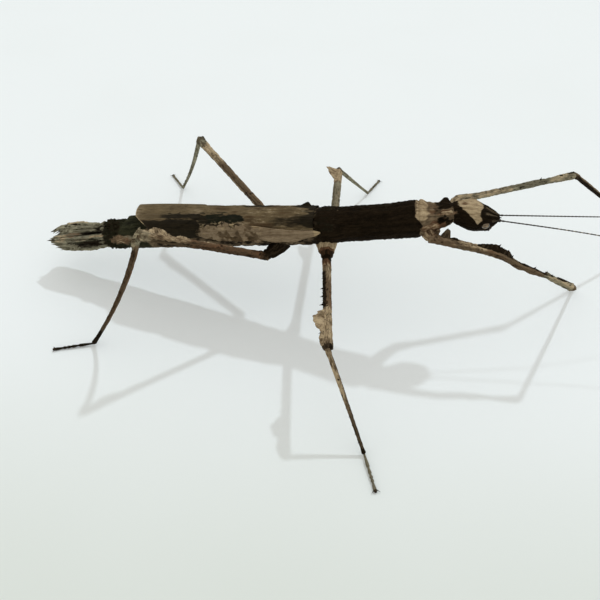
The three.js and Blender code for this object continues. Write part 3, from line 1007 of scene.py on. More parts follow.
    def outline(self, station: Array, turn: Array) -> Array:
        """Gives the radius before any relief.

        Args:
            station: in mm.
            turn: in radians.

        Returns:
            The radius in mm.
        """
        table = np.array(self.profile)
        fine = np.arange(table[0, 0], table[-1, 0] + 0.05, 0.1)
        sizes = []
        for column in (1, 2, 3):
            raw = np.interp(fine, table[:, 0], table[:, column])
            soft = np.convolve(np.pad(raw, 6, mode="edge"), np.ones(13) / 13, mode="valid")
            raw = np.where((fine > 152) & (fine < 153.6), raw, soft)
            sizes.append(np.interp(station, fine, raw))
        side, over, under = sizes
        upright = np.where(np.cos(turn) > 0, over, under)
        return 1 / np.hypot(np.sin(turn) / side, np.cos(turn) / upright)

    def relief(self, station: Array, degrees: Array, place: Array) -> Array:
        """Gives what stands out of the outline or is cut into it.

        Args:
            station: rows by columns, in mm.
            degrees: the turn, rows by columns.
            place: points in the space of the grain, rows by columns by 3.

        Returns:
            Heights in mm, rows by columns.
        """
        side, radians = np.abs(degrees), np.radians(degrees)
        long = NOISE.layered(place * [0.07, 0.55, 0.55])
        split = NOISE.at(place * [0.1, 0.7, 0.7] + 40)
        thin = NOISE.at(place * [0.16, 1.5, 1.5] + 60)
        fine = NOISE.layered(place * 1.3, 2)
        grains = NOISE.at(place * 2.6 + 9)

        splinter = 0.75 * long + 0.35 * thin + 0.18 * fine - fall(np.abs(split), 0.02, 0.24)
        splinter = splinter + mounds(station, degrees, self.tail_mounds)
        splinter = splinter + bell(degrees, 44, 12) * fall(station, 15, 22)
        knobs = 0.6 * NOISE.layered(place * 0.75 + 3, 2) + 0.45 * NOISE.at(place * 1.4 + 70) + 0.25 * grains
        slab = 0.8 * bell(degrees, 44, 9) + 0.4 * bell(degrees, -42, 12) - 0.3 * bell(degrees, 0, 24)
        slab = slab + 0.16 * fine + 0.2 * long
        soft = 0.22 * long + 0.1 * fine - 0.3 * np.sin((station - BELLY) * 2 * np.pi / 11.5) ** 8
        keels = bell(degrees, 0, 5) * 0.3 + bell(side, 52, 5) * 0.22 + bell(side, 98, 5) * 0.18
        rugged = keels * (0.7 + 0.5 * fine) + 0.14 * fine + 0.16 * np.clip(grains, 0, 1) + 0.22 * long

        yoke = 0.24 * np.sin(radians * 15 + 1.8 * long + 0.25 * station)
        yoke = yoke + 0.3 * bell(station, 155.2, 0.9) - 0.35 * bell(station, 159, 0.8)
        yoke = yoke + 1.5 * mound(station, degrees, 163.1, 36, 1.5, 24) - 0.45 * bell(station, 160.6, 0.8)
        yoke = yoke + mounds(station, degrees, self.collar_mounds) + 0.12 * fine
        face = 0.12 * np.sin(radians * 24 + 2 * long) * fall(station, 170, 173)
        face = face + 0.22 * np.sin(radians * 13 + 1) * band(station, 175.2, 180, 1)
        face = face + 0.25 * bell(degrees, 0, 5) * band(station, 171.5, 177, 1)
        face = face + mounds(station, side, self.head_mounds) + 0.06 * fine + 0.05 * np.clip(grains, 0, 1)

        joints = sum(depth * bell(station, middle, width) for depth, middle, width in (
            (-0.35, 164.7, 0.4), (-0.4, 153.8, 0.4), (-0.45, 29.2, 0.5), (-0.35, PLATE, 0.4), (-0.35, 118.6, 0.6)))
        return (fall(station, 27.5, 30) * splinter + band(station, KNOBS, 37.2, 0.6) * knobs
                + band(station, 37.8, BELLY, 0.5) * slab + band(station, BELLY, CHEST, 2) * soft
                + band(station, 119, 153.2, 1) * rugged + band(station, 154, 164, 0.4) * yoke
                + rise(station, SKULL, 166) * face + joints + mound(station, side, 36.5, 88, 3.2, 17))

    def marks(self, station: Array, degrees: Array, place: Array, relief: Array) -> Marks:
        """Gives the colour marks.

        Args:
            station: rows by columns, in mm.
            degrees: the turn, rows by columns.
            place: points in the space of the grain.
            relief: the relief there, in mm.

        Returns:
            The strength of each mark, rows by columns.
        """
        side = np.abs(degrees)
        ragged = NOISE.layered(place * 0.55 + 5, 3)
        wavy = station + 0.8 * ragged
        tail = fall(wavy, 27.6, 30)
        edge = COLLAR + 1.4 * bell(degrees, -80, 16) - 0.7 * bell(degrees, -8, 30)
        mossy = 0.5 * rise(degrees, 8, 34) * band(station, CHEST, 153, 2)
        mossy += 0.9 * band(wavy, CHEST, 125, 2) * fall(side, 60, 90)
        skull = rise(station, SKULL, 164.9)
        made: Marks = {mark: np.zeros(relief.shape) for mark in Mark}
        made[GREY] = tail
        made[MOSS] = band(wavy, 28.5, BELLY, 1.2) + mossy
        made[DARK] = band(wavy, 28.6, 37, 0.8) * 0.5
        made[DARK] += rise(wavy, 115, 119) * fall(station + 0.15 * ragged, edge - 0.3, edge + 0.3)
        # painted shade on the back under the folded wings
        made[DARK] += 0.75 * band(station, BELLY, CHEST, 3) * (0.7 + 0.5 * ragged)
        made[DARK] += 0.36 * tail * rise(ragged, 0, 0.5) - 0.3 * np.clip(mossy, 0, 1)
        made[DARK] += 0.97 * skull + 0.7 * rise(station, 159, 162) * (1 - skull) * (0.6 + ragged)

        uneven = station + 0.35 * ragged
        rear = np.interp(side, [0, 6, 34, 52, 79, 107, 130], [165.9, 166.1, 167.3, 169.2, 171.3, 173.6, 175])
        front = np.interp(side, [0, 14, 33, 60, 87, 112, 130], [174.2, 173.9, 173.1, 172.9, 174.6, 175.6, 175])
        stripe = rise(uneven, rear - 0.45, rear + 0.45) * fall(uneven, front - 0.45, front + 0.45)
        stripe = stripe * fall(side, 104, 122)
        hollow = mound(station, side, 168.2, 0, 1.6, 13)
        streaks = rise(np.sin(np.radians(side) * 9 + 1 + ragged), 0, 1) * band(station, 174.6, 180.4, 0.8)
        lines = rise(np.sin(np.radians(side) * 24 + 2 * ragged), 0.4, 0.95) * band(station, 165, 171, 0.8)
        seam = bell(station, 164.7, 0.16)
        orbit = fall(np.hypot((station - 175.4) / 2.6, (side - 98) / 26), 0.9, 1.15)
        brow = bell(np.hypot((station - 168.3) / 2.4, side / 22), 1, 0.16) * rise(station, 165.4, 166.4)
        made[PALE] += stripe - 0.8 * hollow + 0.35 * seam - orbit + 0.6 * brow
        made[DARK] -= (stripe + 0.5 * streaks + 0.2 * lines * rise(side, 30, 50) + 0.5 * seam - orbit
                       + 0.6 * brow)
        made[RUST] += hollow
        made[GREY] += 0.42 * streaks
        made[MOSS] += 0.35 * band(station, 164.7, 166.6, 0.8) * fall(side, 40, 60)
        for spot in (Spot(*row) for row in self.spots):
            share = spot.share(station, degrees, ragged)
            made[spot.mark] = np.maximum(made[spot.mark], share)
            for other in (PALE,) if spot.mark in (DARK, MOSS) else (DARK, MOSS):
                made[other] -= share
        # painted shade where the relief is cut in, weaker on the head
        made[GROOVE] = rise(-relief, 0.2, 1) * (1 - 0.7 * skull)
        return clipped(made)

    def surface(self) -> Surface:
        """Makes the trunk's surface.

        Returns:
            The surface with its marks; its rings are closer together on the collar and head.
        """
        rows = np.concatenate([np.arange(TAIL_TIP, 150, 0.34), np.arange(150, SNOUT - 0.02, 0.17), [SNOUT]])
        rows = rows[:, None]
        turn = np.linspace(0, 2 * np.pi, self.sides, endpoint=False)[None, :]
        share = np.clip((rows - TAIL_TIP) / (TAIL_ROOT - TAIL_TIP), 0, 1)
        station = np.where(rows < TAIL_ROOT, self.fray(turn) * (1 - share) + TAIL_ROOT * share, rows)
        turn = np.broadcast_to(turn, station.shape)
        degrees = np.degrees(np.arctan2(np.sin(turn), np.cos(turn)))
        place = wrapped(station, 6, turn)
        relief = self.relief(station, degrees, place)
        close = np.minimum(0.75 + 0.25 * rise(rows, 1.4, 3), fall(rows, 180.3, SNOUT))
        radius = np.maximum(self.outline(station, turn) * close + relief * close, 0.15)
        marks = self.marks(station, degrees, place, relief)
        # painted shade on the tail's last rings, under the splinters
        marks[GROOVE] = np.maximum(marks[GROOVE], 0.9 * fall(rows, TAIL_TIP, 2.6))
        return Surface(BODY_LINE.place(station, radius, turn), place, marks)

    def splinters(self) -> list[Surface]:
        """Makes the frayed end.

        Returns:
            Flat splinters of uneven length that run back past the tail.
        """
        draw = np.random.default_rng(4)
        plans = list(self.big_splinters)
        for count in range(self.small_splinters):
            degrees = -180 + 360 * count / self.small_splinters + draw.uniform(-4, 4)
            end = float(self.fray(np.radians(degrees)))
            reach = end - draw.uniform(-1.2, 1.3) * (0.3 if -40 < degrees < -8 else 1)
            plans.append((degrees, 0, end + draw.uniform(4, 10), max(reach, 0.4), draw.uniform(0.45, 0.95),
                          draw.uniform(-0.6, 0.4)))
        surfaces = []
        for order, (degrees, veer, root, reach, width, flare) in enumerate(plans):
            turn = math.radians(degrees)
            along = np.array([root, 0.5 * (root + reach), reach])
            turns = turn - np.radians(veer) * np.array([0, 0.3, 1])
            size = self.outline(np.maximum(along, 3.5), turns)
            path = Path.through(BODY_LINE.place(along, size + [-1, -0.15, flare - 0.7], turns), 20)

            def radius(away: Array, side: Array, width: float = width, length: float = path.length) -> Array:
                """Half the thickness of a flat splinter, slim at both ends.

                Args:
                    away: distances along it, in mm.
                    side: turns round it, in radians.
                    width: its half width, in mm.
                    length: its length, in mm.

                Returns:
                    The radius, in mm.
                """
                t = away / length
                girth = width * (0.35 + 0.65 * np.sin(np.pi * np.clip(t * 0.75 + 0.2, 0, 1))) * (1 - t**3) + 0.05
                return girth / np.hypot(np.sin(side), np.cos(side) / 0.45)

            splinter = tube(path, np.linspace(0, path.length, 24), 12, radius, 31 * order)
            rough = NOISE.layered(splinter.points * 0.9, 2)
            splinter.points += unit(BODY_LINE.spot(along[1]).out(turn)) * (0.22 * rough)[..., None]
            tint = draw.uniform(-0.3, 0.6)
            surfaces.append(splinter.marked({GREY: 1, DARK: np.clip(0.6 * rough + tint, 0, 0.9),
                                             PALE: np.clip(0.5 * rough - tint, 0, 0.6)}))
        return surfaces

    def tubercles(self) -> list[Surface]:
        """Makes the small thorns of the chest and the knobs in front of the tail.

        Returns:
            The thorns and knobs.
        """
        draw = np.random.default_rng(7)
        made = []
        rows = [(turn, station, 1) for turn in (-98, -52, 0, 52, 98) for station in np.arange(122, 151, 2.6)]
        rows += [(turn, station, 1.3) for turn in (-20, 5, 28, 50) for station in np.arange(30.5, 36.6, 1.7)]
        for order, (degrees, station, big) in enumerate(rows):
            turn = math.radians(degrees + draw.uniform(-5, 5))
            where = station + draw.uniform(-0.8, 0.8)
            spot = BODY_LINE.spot(where)
            out = spot.out(turn)
            stand = float(self.outline(np.array([where]), np.array([turn]))[0]) - 0.15
            spike = thorn(spot.centre + out * stand, out + 0.35 * spot.ahead, draw.uniform(0.3, 0.65) * big,
                          draw.uniform(0.35, 0.5) * big, seed=3 * order)
            made.append(spike.marked({DARK: 0.9, MOSS: 0.5}))
        return made

    def build(self, finishes: Finishes) -> None:
        """Builds the trunk's skin.

        Args:
            finishes: the model's materials.
        """
        nodes = ["tail", "abdomen_8", "abdomen_7", "abdomen_5_6", "abdomen_3_4", "abdomen_1_2",
                 "metathorax", "mesothorax", "pronotum", "head"]
        skin = [self.surface(), *self.splinters(), *self.tubercles()]
        build("trunk_skin", skin, finishes.skin, nodes)


# ---- Head details ----


@dataclass
class Eyes:
    """Two compound eyes, low on the cheeks behind the feelers."""

    radius: float = 1.3
    station: float = 175.5
    out: float = 4.05
    up: float = -0.7

    def ball(self, away: Array, turn: Array) -> Array:
        """Gives an eye's radius at a distance from its back."""
        return np.sqrt(np.clip(1 - (away / self.radius - 1) ** 2, 0, 1)) * self.radius

    def build(self, finishes: Finishes) -> None:
        """Builds both eyes, each an egg that is longest ahead.

        Args:
            finishes: the model's materials.
        """
        spot = BODY_LINE.spot(self.station)
        along = (1 - np.cos(np.linspace(0.02, np.pi - 0.02, 40))) * self.radius
        for side, name in ((-1, "right"), (1, "left")):
            out = side * self.out * spot.left + self.up * spot.up
            middle, look = spot.centre + out, unit(out + 0.5 * spot.ahead) * self.radius
            eye = tube(Path(np.array([middle - look, middle + look])), along, 56, self.ball)
            eye.points += (0.28 * ((eye.points - middle) @ spot.ahead))[..., None] * spot.ahead
            eye.flow = (eye.points - middle) + 50
            eye.marks = {DARK: rise(np.abs((eye.points - middle) @ spot.ahead / self.radius), 0.55, 0.95)}
            build(f"eye_{name}", [eye], finishes.eye, [f"eye_{name}"])


@dataclass
class Antenna:
    """A feeler: a stout first joint, a short second one and a long ringed whip."""

    name: str
    points: tuple[Place, ...]
    ringed: float
    joint: float = 1.3
    root: float = 0.23
    tip: float = 0.17

    def build(self, finishes: Finishes) -> None:
        """Builds the feeler.

        Args:
            finishes: the model's materials.
        """
        knots = np.array(self.points) - MIDDLE
        path = Path.through([knots[0] - unit(knots[1] - knots[0]) * 1.8, *knots])

        def radius(along: Array, turn: Array) -> Array:
            """Half the thickness, with a swelling at the end of each joint.

            Args:
                along: distances along it, in mm.
                turn: not used.

            Returns:
                The radius, in mm.
            """
            whip = self.root + (self.tip - self.root) * rise(along, 0, path.length)
            swell = 0.025 * np.cos(2 * np.pi * along / self.joint)
            return whip + swell + 0.36 * band(along, -1, 1.5, 0.4) + 0.1 * band(along, 1.9, 2.6, 0.3)

        along = np.arange(0, path.length, 0.22)
        feeler = tube(path, along, 14, radius, 11)
        rings = self.ringed * rise(np.sin(np.pi * along / self.joint), 0.3, 0.7) * rise(along, 14, 26)
        name = f"antenna_{self.name}"
        build(name, [feeler.marked({PALE: rings[:, None]})], finishes.horn, [name])


@dataclass
class Mouth:
    """The lip, jaws and palps under the front of the head."""

    station: float = 176.6

    @staticmethod
    def jaw(away: Array, turn: Array) -> Array:
        """Half the thickness of a jaw, tapering to its tip."""
        return 0.85 * np.sqrt(np.clip(1.02 - (away / 4.2) ** 2, 0.004, 1))

    @staticmethod
    def palp(away: Array, turn: Array) -> Array:
        """Half the thickness of a palp, with a waist at each joint."""
        return 0.27 * (1 + 0.22 * np.cos(away * 3.6))

    @staticmethod
    def lip(away: Array, turn: Array) -> Array:
        """Half the thickness of the lip, which is broad and flat."""
        return (1.25 - 0.02 * away**3) / np.hypot(np.sin(turn), np.cos(turn) / 0.42)

    def build(self, finishes: Finishes) -> None:
        """Builds the mouthparts.

        Args:
            finishes: the model's materials.
        """
        spot = BODY_LINE.spot(self.station)
        parts = []

        def add(path: Path, rings: int, sides: int, radius: Radius, seed: float) -> None:
            """Adds one mouthpart."""
            parts.append(tube(path, np.linspace(0, path.length, rings), sides, radius, seed))

        def at(out: Array, down: float, ahead: float) -> Array:
            """Gives a place under the head."""
            return spot.centre + out - spot.up * down + spot.ahead * ahead

        for side in (-1, 1):
            out = spot.left * side
            add(Path.bow(at(out * 1.2, 2.8, 0), at(out * 1.5, 3.9, 1.4), at(out * 0.25, 4.2, 2.6)),
                16, 12, self.jaw, 5)
            for root, drop in ((1.4, 4.9), (0.6, 5.1)):
                add(Path.through([at(out * root, 3.6, -0.6), at(out * (root + 0.2), 4.8, 0.4),
                                  at(out * root * 0.8, drop, 2.2)]), 26, 10, self.palp, 8)
        add(Path.bow(at(0, 2.6, 2), at(0, 3.9, 2.9), at(0, 4.9, 2.4)), 14, 20, self.lip, 2)
        build("mouthparts", parts, finishes.horn, [])


# ---- Wings ----


def wing_inner(station: Array, turn: Array) -> Array:
    """Gives the radius under the folded wings: they stand off the back, with a keel on each side."""
    lift = 2.2 * fall(station, 45.5, 117.5) + 0.55 * rise(station, 78, 105)
    return 6.85 + lift * (np.cos(turn) ** 2 * 0.5 + bell(np.abs(turn), 0.75, 0.4))


def shell(station: Array, turn: Array, inner: Array, thick: Array, seed: float) -> Surface:
    """Makes a thin curved plate over the body.

    Args:
        station: rows by columns, in mm.
        turn: rows by columns, in radians.
        inner: the inner radius, rows by columns, in mm.
        thick: the thickness, rows by columns, in mm.
        seed: moves the grain.

    Returns:
        The closed surface.
    """
    outside = BODY_LINE.place(station, inner + thick, turn)
    inside = BODY_LINE.place(station, inner, turn)
    points = np.concatenate([outside, inside[:, ::-1]], axis=1)
    return Surface(points, triple(there_and_back(station) + seed, 8 * there_and_back(turn), 0))


@dataclass
class Wing:
    """What both pairs of wings share."""

    side: int

    @property
    def flank(self) -> str:
        """The wing's side in words."""
        return "right" if self.side < 0 else "left"


@dataclass
class HindWing(Wing):
    """A folded hind wing: the long leathery strip that covers its own side of the back."""

    root: float = 117
    thick: float = 0.7
    outer: float = 1.33
    veins: tuple[float, ...] = (0.52, 0.3, 0.05, -0.2, -0.47, -0.72, -0.95, -1.15)
    # turn in degrees, and the station of the tip's edge there
    edge: tuple[tuple[float, float], ...] = (
        (-76, 60), (-62, 55), (-48, 52.5), (-38, 50.6), (-25, 47.8), (-10, 45.4), (5, 44.5), (20, 43.9),
        (42, 43.4), (62, 44.2), (76, 47))

    def build(self, finishes: Finishes) -> None:
        """Builds the wing.

        Args:
            finishes: the model's materials.
        """
        share = np.linspace(0, 1, 84)[None, :]
        rows = np.concatenate([np.linspace(0, 0.05, 26), np.linspace(0.0525, 1, 215)])[:, None]
        inner_turn = 0.70 + 0.03 * self.side
        fan = inner_turn + (self.side * self.outer - inner_turn) * share
        degrees = np.degrees(fan)
        corner = 0.7 * np.clip(1 - np.abs(degrees - math.degrees(inner_turn)) / 4, 0, 1) ** 2
        s = (self.tip_edge(degrees) + corner) * (1 - rows) + self.root * rows
        draw = NOISE.over(s * 0.3, degrees * 0.02, self.side * 9, 2)
        a = fan + self.side * 0.05 * draw * share
        d = np.degrees(a)
        crumple = 0.22 * NOISE.over(s * 0.16, a * 3, float(self.side), 2)
        inner = wing_inner(s, a) + crumple * rise(s, 76, 92)
        veins = sum(0.1 * bell(a, vein + 0.03 * np.sin(s * 0.09 + vein * 5), 0.03) for vein in self.veins)
        grit = 0.12 * NOISE.over(s * 0.5, a * 9, 4, 3) * rise(s, 68, 84)
        ribs = 0.08 * np.sin(a * 42 + 0.05 * s) * rise(s, 90, 106)
        fold = -0.3 * bell(d, -28.5, 1.6) * band(s, 50, 76, 1)
        # the smooth panel runs from the tip to a rounded end a third of the way along
        panel = fall(s, self.end(d) - 0.25, self.end(d) + 0.25)
        thick = (self.thick + 0.3 * panel + veins + grit + ribs + fold) * (1 - 0.55 * rise(s, 110, 116.5))
        thin = rise(rows, 0, 0.012) * half_wave(share, 30)
        wing = shell(s, a, inner, np.maximum(thick, 0.15) * (0.3 + 0.7 * thin), 200 + 60 * self.side)
        wing.marks = self.marks(there_and_back(s), there_and_back(d))
        crest = self.crest() if self.side < 0 else []
        build(f"hindwing_{self.flank}", [wing, *crest], finishes.wing, [f"hindwing_{self.flank}"])

    def tip_edge(self, degrees: Array) -> Array:
        """Gives the station of the wing's tip edge on each side of the back."""
        return np.interp(degrees, *zip(*self.edge))

    @staticmethod
    def end(degrees: Array) -> Array:
        """Gives the station where the smooth panel ends, on each side of the back."""
        return 75.6 - 4.2 * ((degrees - 6) / 34) ** 2

    def marks(self, station: Array, degrees: Array) -> Marks:
        """Gives the wing's marks.

        Args:
            station: rows by columns, in mm.
            degrees: the turn there, in degrees.

        Returns:
            The strength of each mark.
        """
        ragged = NOISE.over(station * 0.16, degrees * 0.09, 0, 3)
        specks = NOISE.over(station * 0.7, degrees * 0.35, 8, 2)
        edge = station - self.tip_edge(degrees)
        loose = station + 3 * ragged
        speckle = 0.8 * rise(specks + 0.4 * ragged, -0.1, 0.4) * band(degrees + 5 * ragged, -50, -33, 5)
        speckle = speckle * band(station, 71, 98, 3)
        top_line = np.interp(station, [68, 76, 86, 94], [-12, -6, -12, -34])
        fuzzy = degrees + 12 * ragged + 4 * specks
        green = fall(fuzzy, top_line - 5, top_line + 7) * band(loose, 69.5, 93, 3.5)
        low = rise(-degrees + 5 * ragged, 25.5, 32) * band(station, 48, 76, 2)
        made: Marks = {
            PALE: 0.75 * fall(edge, 0.25, 0.9) * (0.35 + 0.65 * rise(degrees, -45, -30))
            + 0.32 * bell(station - self.end(degrees), -0.1, 0.5) * band(degrees, -30, 14, 6)
            + 0.65 * bell(degrees, -26.6, 1) * band(station, 50.5, 66, 3),
            GREY: 0.5 * fall(edge, 1, 7) + 0.55 * bell(station, 71, 3.5) * band(degrees, -16, 12, 6)
            + speckle + 0.55 * rise(specks, 0.1, 0.6) * band(station, 90, 117, 3),
            MOSS: green + 0.8 * rise(degrees, 33, 40) * rise(station, 70, 80)
            + 0.5 * rise(loose, 111, 115) * rise(degrees, -20, 10) - 0.7 * speckle,
            RUST: 0.7 * band(station, 76, 112, 3) * (0.5 + 0.6 * ragged),
            DARK: low * (0.35 + 0.65 * rise(loose, 53, 60))
            + 0.3 * bell(station, 63, 6) * rise(specks, 0, 0.5)
            + 0.42 * rise(-degrees + 3 * ragged, -18, 22) * band(station, 49, 74, 3)
            + 0.5 * band(degrees + 4 * ragged, -26, -12, 5) * band(station, 58, 74, 4)
            + 0.4 * green * rise(-specks, -0.5, 0.3)
            + 0.8 * bell(degrees + 0.4 * (station - 96), 24, 5) * band(station, 88, 102, 3)
            + 0.95 * rise(station + 6 * ragged + 0.05 * degrees, 106.5, 118)
            + 0.6 * band(degrees + 8 * ragged, -52, -22, 7) * rise(station, 94, 106) - 0.8 * speckle,
        }
        return clipped(made)

    @staticmethod
    def crest() -> list[Surface]:
        """Makes the dark pointed crest near the wing's root, on the far shoulder.

        Returns:
            The crest.
        """
        station = np.linspace(107, 116.5, 34)
        line = BODY_LINE.frames(station)
        out = line.out(math.radians(36))
        line.centre = line.centre + out * 7.4
        ragged = NOISE.over(station * 1.1, 0, 0, 2)
        height = 0.3 + 1.7 * bell(station, 113.2, 1.4) + 0.9 * bell(station, 110.6, 1.5) + 0.3 * ragged
        lobe = leaf(line, out[17], np.clip(height, 0.1, None) * band(station, 107.2, 116.4, 0.3), 1.6, 6)
        return [lobe.marked({DARK: 0.9})]


@dataclass
class Tegmen(Wing):
    """A forewing: a short rough leaf over the flank, pointed at both ends."""

    tip: float = 72
    root: float = 119.6

    def build(self, finishes: Finishes) -> None:
        """Builds the forewing.

        Args:
            finishes: the model's materials.
        """
        near = self.side < 0
        t = np.linspace(0, 1, 210)[:, None]
        share = np.linspace(0, 1, 60)[None, :]
        s = np.broadcast_to(self.tip + (self.root - self.tip) * t, (210, 60))
        draw = NOISE.over(s * 0.3, 3, float(self.side), 3)
        high = [56, 43, 37, 40, 47, 57, 61, 66] if near else [72, 68, 66, 66, 67, 69, 70, 71]
        low = [66, 74, 81, 87, 89, 88, 80, 70] if near else [73, 80, 86, 90, 90, 86, 76, 72]
        upper = np.interp(t, [0, 0.05, 0.14, 0.35, 0.5, 0.75, 0.95, 1], high)
        lower = np.interp(t, [0, 0.06, 0.15, 0.4, 0.6, 0.82, 0.92, 1], low)
        fade = np.sin(np.pi * np.clip(t, 0, 1)) ** 0.5
        start = upper + 3.5 * draw * fade * fall(t, 0.35, 0.6) * (1 if near else 0.3)
        finish = lower + 3 * np.roll(draw, 40, axis=0) * fade
        degrees = start + (finish - start) * share
        a = self.side * np.radians(degrees)
        place = triple(s * 0.45, np.abs(a) * 4.5, 0)
        ragged = NOISE.layered(place, 3)
        broad = NOISE.layered(place * [0.5, 0.6, 1] + 30, 2)
        patchy = fall(s, 94, 106)
        stand = (1.15 if near else 0.8) - 0.8 * rise(s, 108, 119)
        rough = ragged * 0.34 * (1 - 0.7 * rise(s, 94, 106))
        rib = 0.12 * np.sin(np.abs(a) * 34 + 0.06 * s) * rise(s, 88, 104)
        thick = (0.5 + rough) * (0.45 + 0.55 * rise(s, 72, 84)) + rib + 0.25 * bell(s, 117.6, 1.4)
        thick = np.maximum(thick, 0.18) * (0.35 + 0.65 * half_wave(share, 14)) * (1 if near else 0.7)
        wing = shell(s, a, wing_inner(s, a) + stand, thick, 500 + 60 * self.side)
        border = fall(np.minimum(share, 1 - share) + 0.03 * ragged, 0.03, 0.12)
        wing.marks = {mark: there_and_back(strength) for mark, strength in clipped({
            PALE: 0.6 * rise(s, 116.9, 117.6) * fall(degrees, 76, 82)
            + 0.5 * rise(ragged + 0.4 * broad, 0.1, 0.9) * patchy + 0.35 * border * rise(s, 80, 90),
            DARK: (0.35 * rise(-ragged, 0.35, 0.95) + 0.2 * rise(-broad, 0.3, 0.9)) * patchy
            + 0.75 * rise(0.3 * ragged - share, -0.22, 0) * fall(s, 84, 98) + 0.5 * fall(s, 72, 78),
            RUST: 0.6 * rise(-ragged, -0.1, 0.6) * (0.4 + 0.6 * patchy) + 0.4 * rise(degrees, 80, 92),
        }).items()}
        build(f"tegmen_{self.flank}", [wing], finishes.tegmen, [f"tegmen_{self.flank}"])


# ---- Legs ----


class Pair(Enum):
    """The three pairs of legs."""

    FORE = "fore"
    MID = "mid"
    HIND = "hind"


@dataclass(frozen=True)
class Lobe:
    """A leafy lobe on a thigh: its middle as a share of the thigh, its length and height in mm."""

    mark: Mark
    at: float
    length: float
    height: float
    peak: float
    strength: float = 0.7
    lean: float = 0

    def swell(self, t: Array) -> Array:
        """Goes from 0 at the lobe's ends, at -0.5 and 0.5, to 1 at its peak."""
        return np.where(t + 0.5 < self.peak, (t + 0.5) / self.peak, (0.5 - t) / (1 - self.peak))

    def rim(self, swell: Array) -> Array:
        """Gives the height of the lobe's edge where it swells that much, in mm."""
        return np.sin(0.5 * np.pi * np.clip(swell, 0, 1)) ** 0.9 * self.height


@dataclass(frozen=True)
class Stripe:
    """A mark along a limb: from one share of its length to another, on one side of it or all round."""

    start: float
    end: float
    strength: float
    turn: float = 0
    width: float = 400
    soft: float = 0.03


Stripes = dict[Mark, tuple[tuple[float, ...], ...]]


@dataclass(frozen=True)
class Arms:
    """How a thigh is shaped and armed, and how the leg is marked."""

    out: Place
    inward: float
    coxa: tuple[float, float]
    girth: tuple[tuple[float, float], ...]
    spines: tuple[tuple[float, float], ...]
    lobes: tuple[Lobe, ...]
    thigh: Stripes
    shank: Stripes
    hip: Stripes
    line: tuple[tuple[float, float], ...] = ((0, 0), (0.5, 1), (1, 0))
    knee_flap: float = 0


FORE_NEAR = Arms(
    out=(0, 0, 0.75), inward=0.66, coxa=(3.4, 1.5),
    girth=((0, 0.95), (0.065, 0.86), (0.2, 0.84), (0.34, 0.7), (0.5, 0.68), (0.62, 0.62), (0.72, 0.6),
           (0.807, 0.32), (0.89, 0.56), (0.96, 0.76), (1, 0.8)),
    line=((0, 0), (0.2, 0.55), (0.36, 0.96), (0.5, 1.05), (0.62, 0.55), (0.74, 0.42), (0.88, 0.25), (1, 0)),
    spines=((0.44, 0.7), (0.475, 0.4), (0.505, 0.5), (0.545, 0.6), (0.715, 0.6), (0.64, 0.3), (0.25, 0.3),
            (0.84, 0.3)),
    lobes=(Lobe(DARK, 0.395, 11, 1.9, 0.72, 0.72), Lobe(DARK, 0.49, 6.5, 1.4, 0.6, 0.68),
           Lobe(DARK, 0.93, 6, 0.1, 0.4), Lobe(DARK, 0.15, 3.4, 0.8, 0.6), Lobe(DARK, 0.09, 3.6, 3.3, 0.55, 0.5)),
    thigh={MOSS: ((0, 0.12, 0.3),), GREY: ((0.42, 0.65, 0.2), (0.78, 1, 0.8)),
           RUST: ((0, 0.2, 0.5), (0.16, 0.42, 0.5, -70, 80), (0.42, 0.8, 0.35)),
           DARK: ((-0.02, 0.12, 0.7, 25, 30), (0.4, 0.6, 0.45, 45, 60), (0.6, 0.8, 0.75, 10, 60),
                  (0.3, 0.8, 0.35, -140, 50), (0.86, 0.97, 0.7, 25, 30)),
           PALE: ((0, 0.2, 0.35, -60, 60), (0.28, 0.42, 0.75, 15, 45), (0.16, 0.36, 0.5, -60, 60),
                  (0.8, 1, 0.42, -60, 130))},
    shank={DARK: ((0, 1, 0.5, 60, 50),)},
    hip={RUST: ((0, 1, 0.7),), PALE: ((0, 0.9, 0.55),), DARK: ((0.5, 0.6, 0.5),)})

FORE_FAR = Arms(
    out=(0, 0, 0.9), inward=-0.3, coxa=(2.6, 1.8),
    girth=((0, 1.5), (0.07, 1.35), (0.16, 0.9), (0.5, 0.88), (0.66, 0.95), (0.72, 0.78), (0.8, 0.84),
           (0.88, 1.05), (1, 1.15)),
    spines=((0.1, 0.5), (0.7, 0.9), (0.45, 0.3), (0.58, 0.3)),
    lobes=(Lobe(DARK, 0.93, 7, 0.15, 0.5), Lobe(PALE, 0.08, 5, 0.5, 0.4, 0.6)),
    thigh={GREY: ((0, 1, 0.7),), PALE: ((0, 0.45, 0.5, -60, 80), (0.78, 0.97, 0.4, -60, 130)),
           DARK: ((0.25, 0.8, 0.4, 30, 50), (0.5, 0.76, 0.4, -60, 60), (0.93, 1, 0.6, 10, 60)),
           RUST: ((0, 0.3, 0.4, 20, 80),)},
    shank={DARK: ((0, 1, 0.8, -120, 70),), RUST: ((0.02, 0.5, 0.6, 60, 60),)},
    hip={RUST: ((0, 1, 0.4),), PALE: ((0, 1, 0.5),), GREY: ((0.5, 1, 0.5),)})

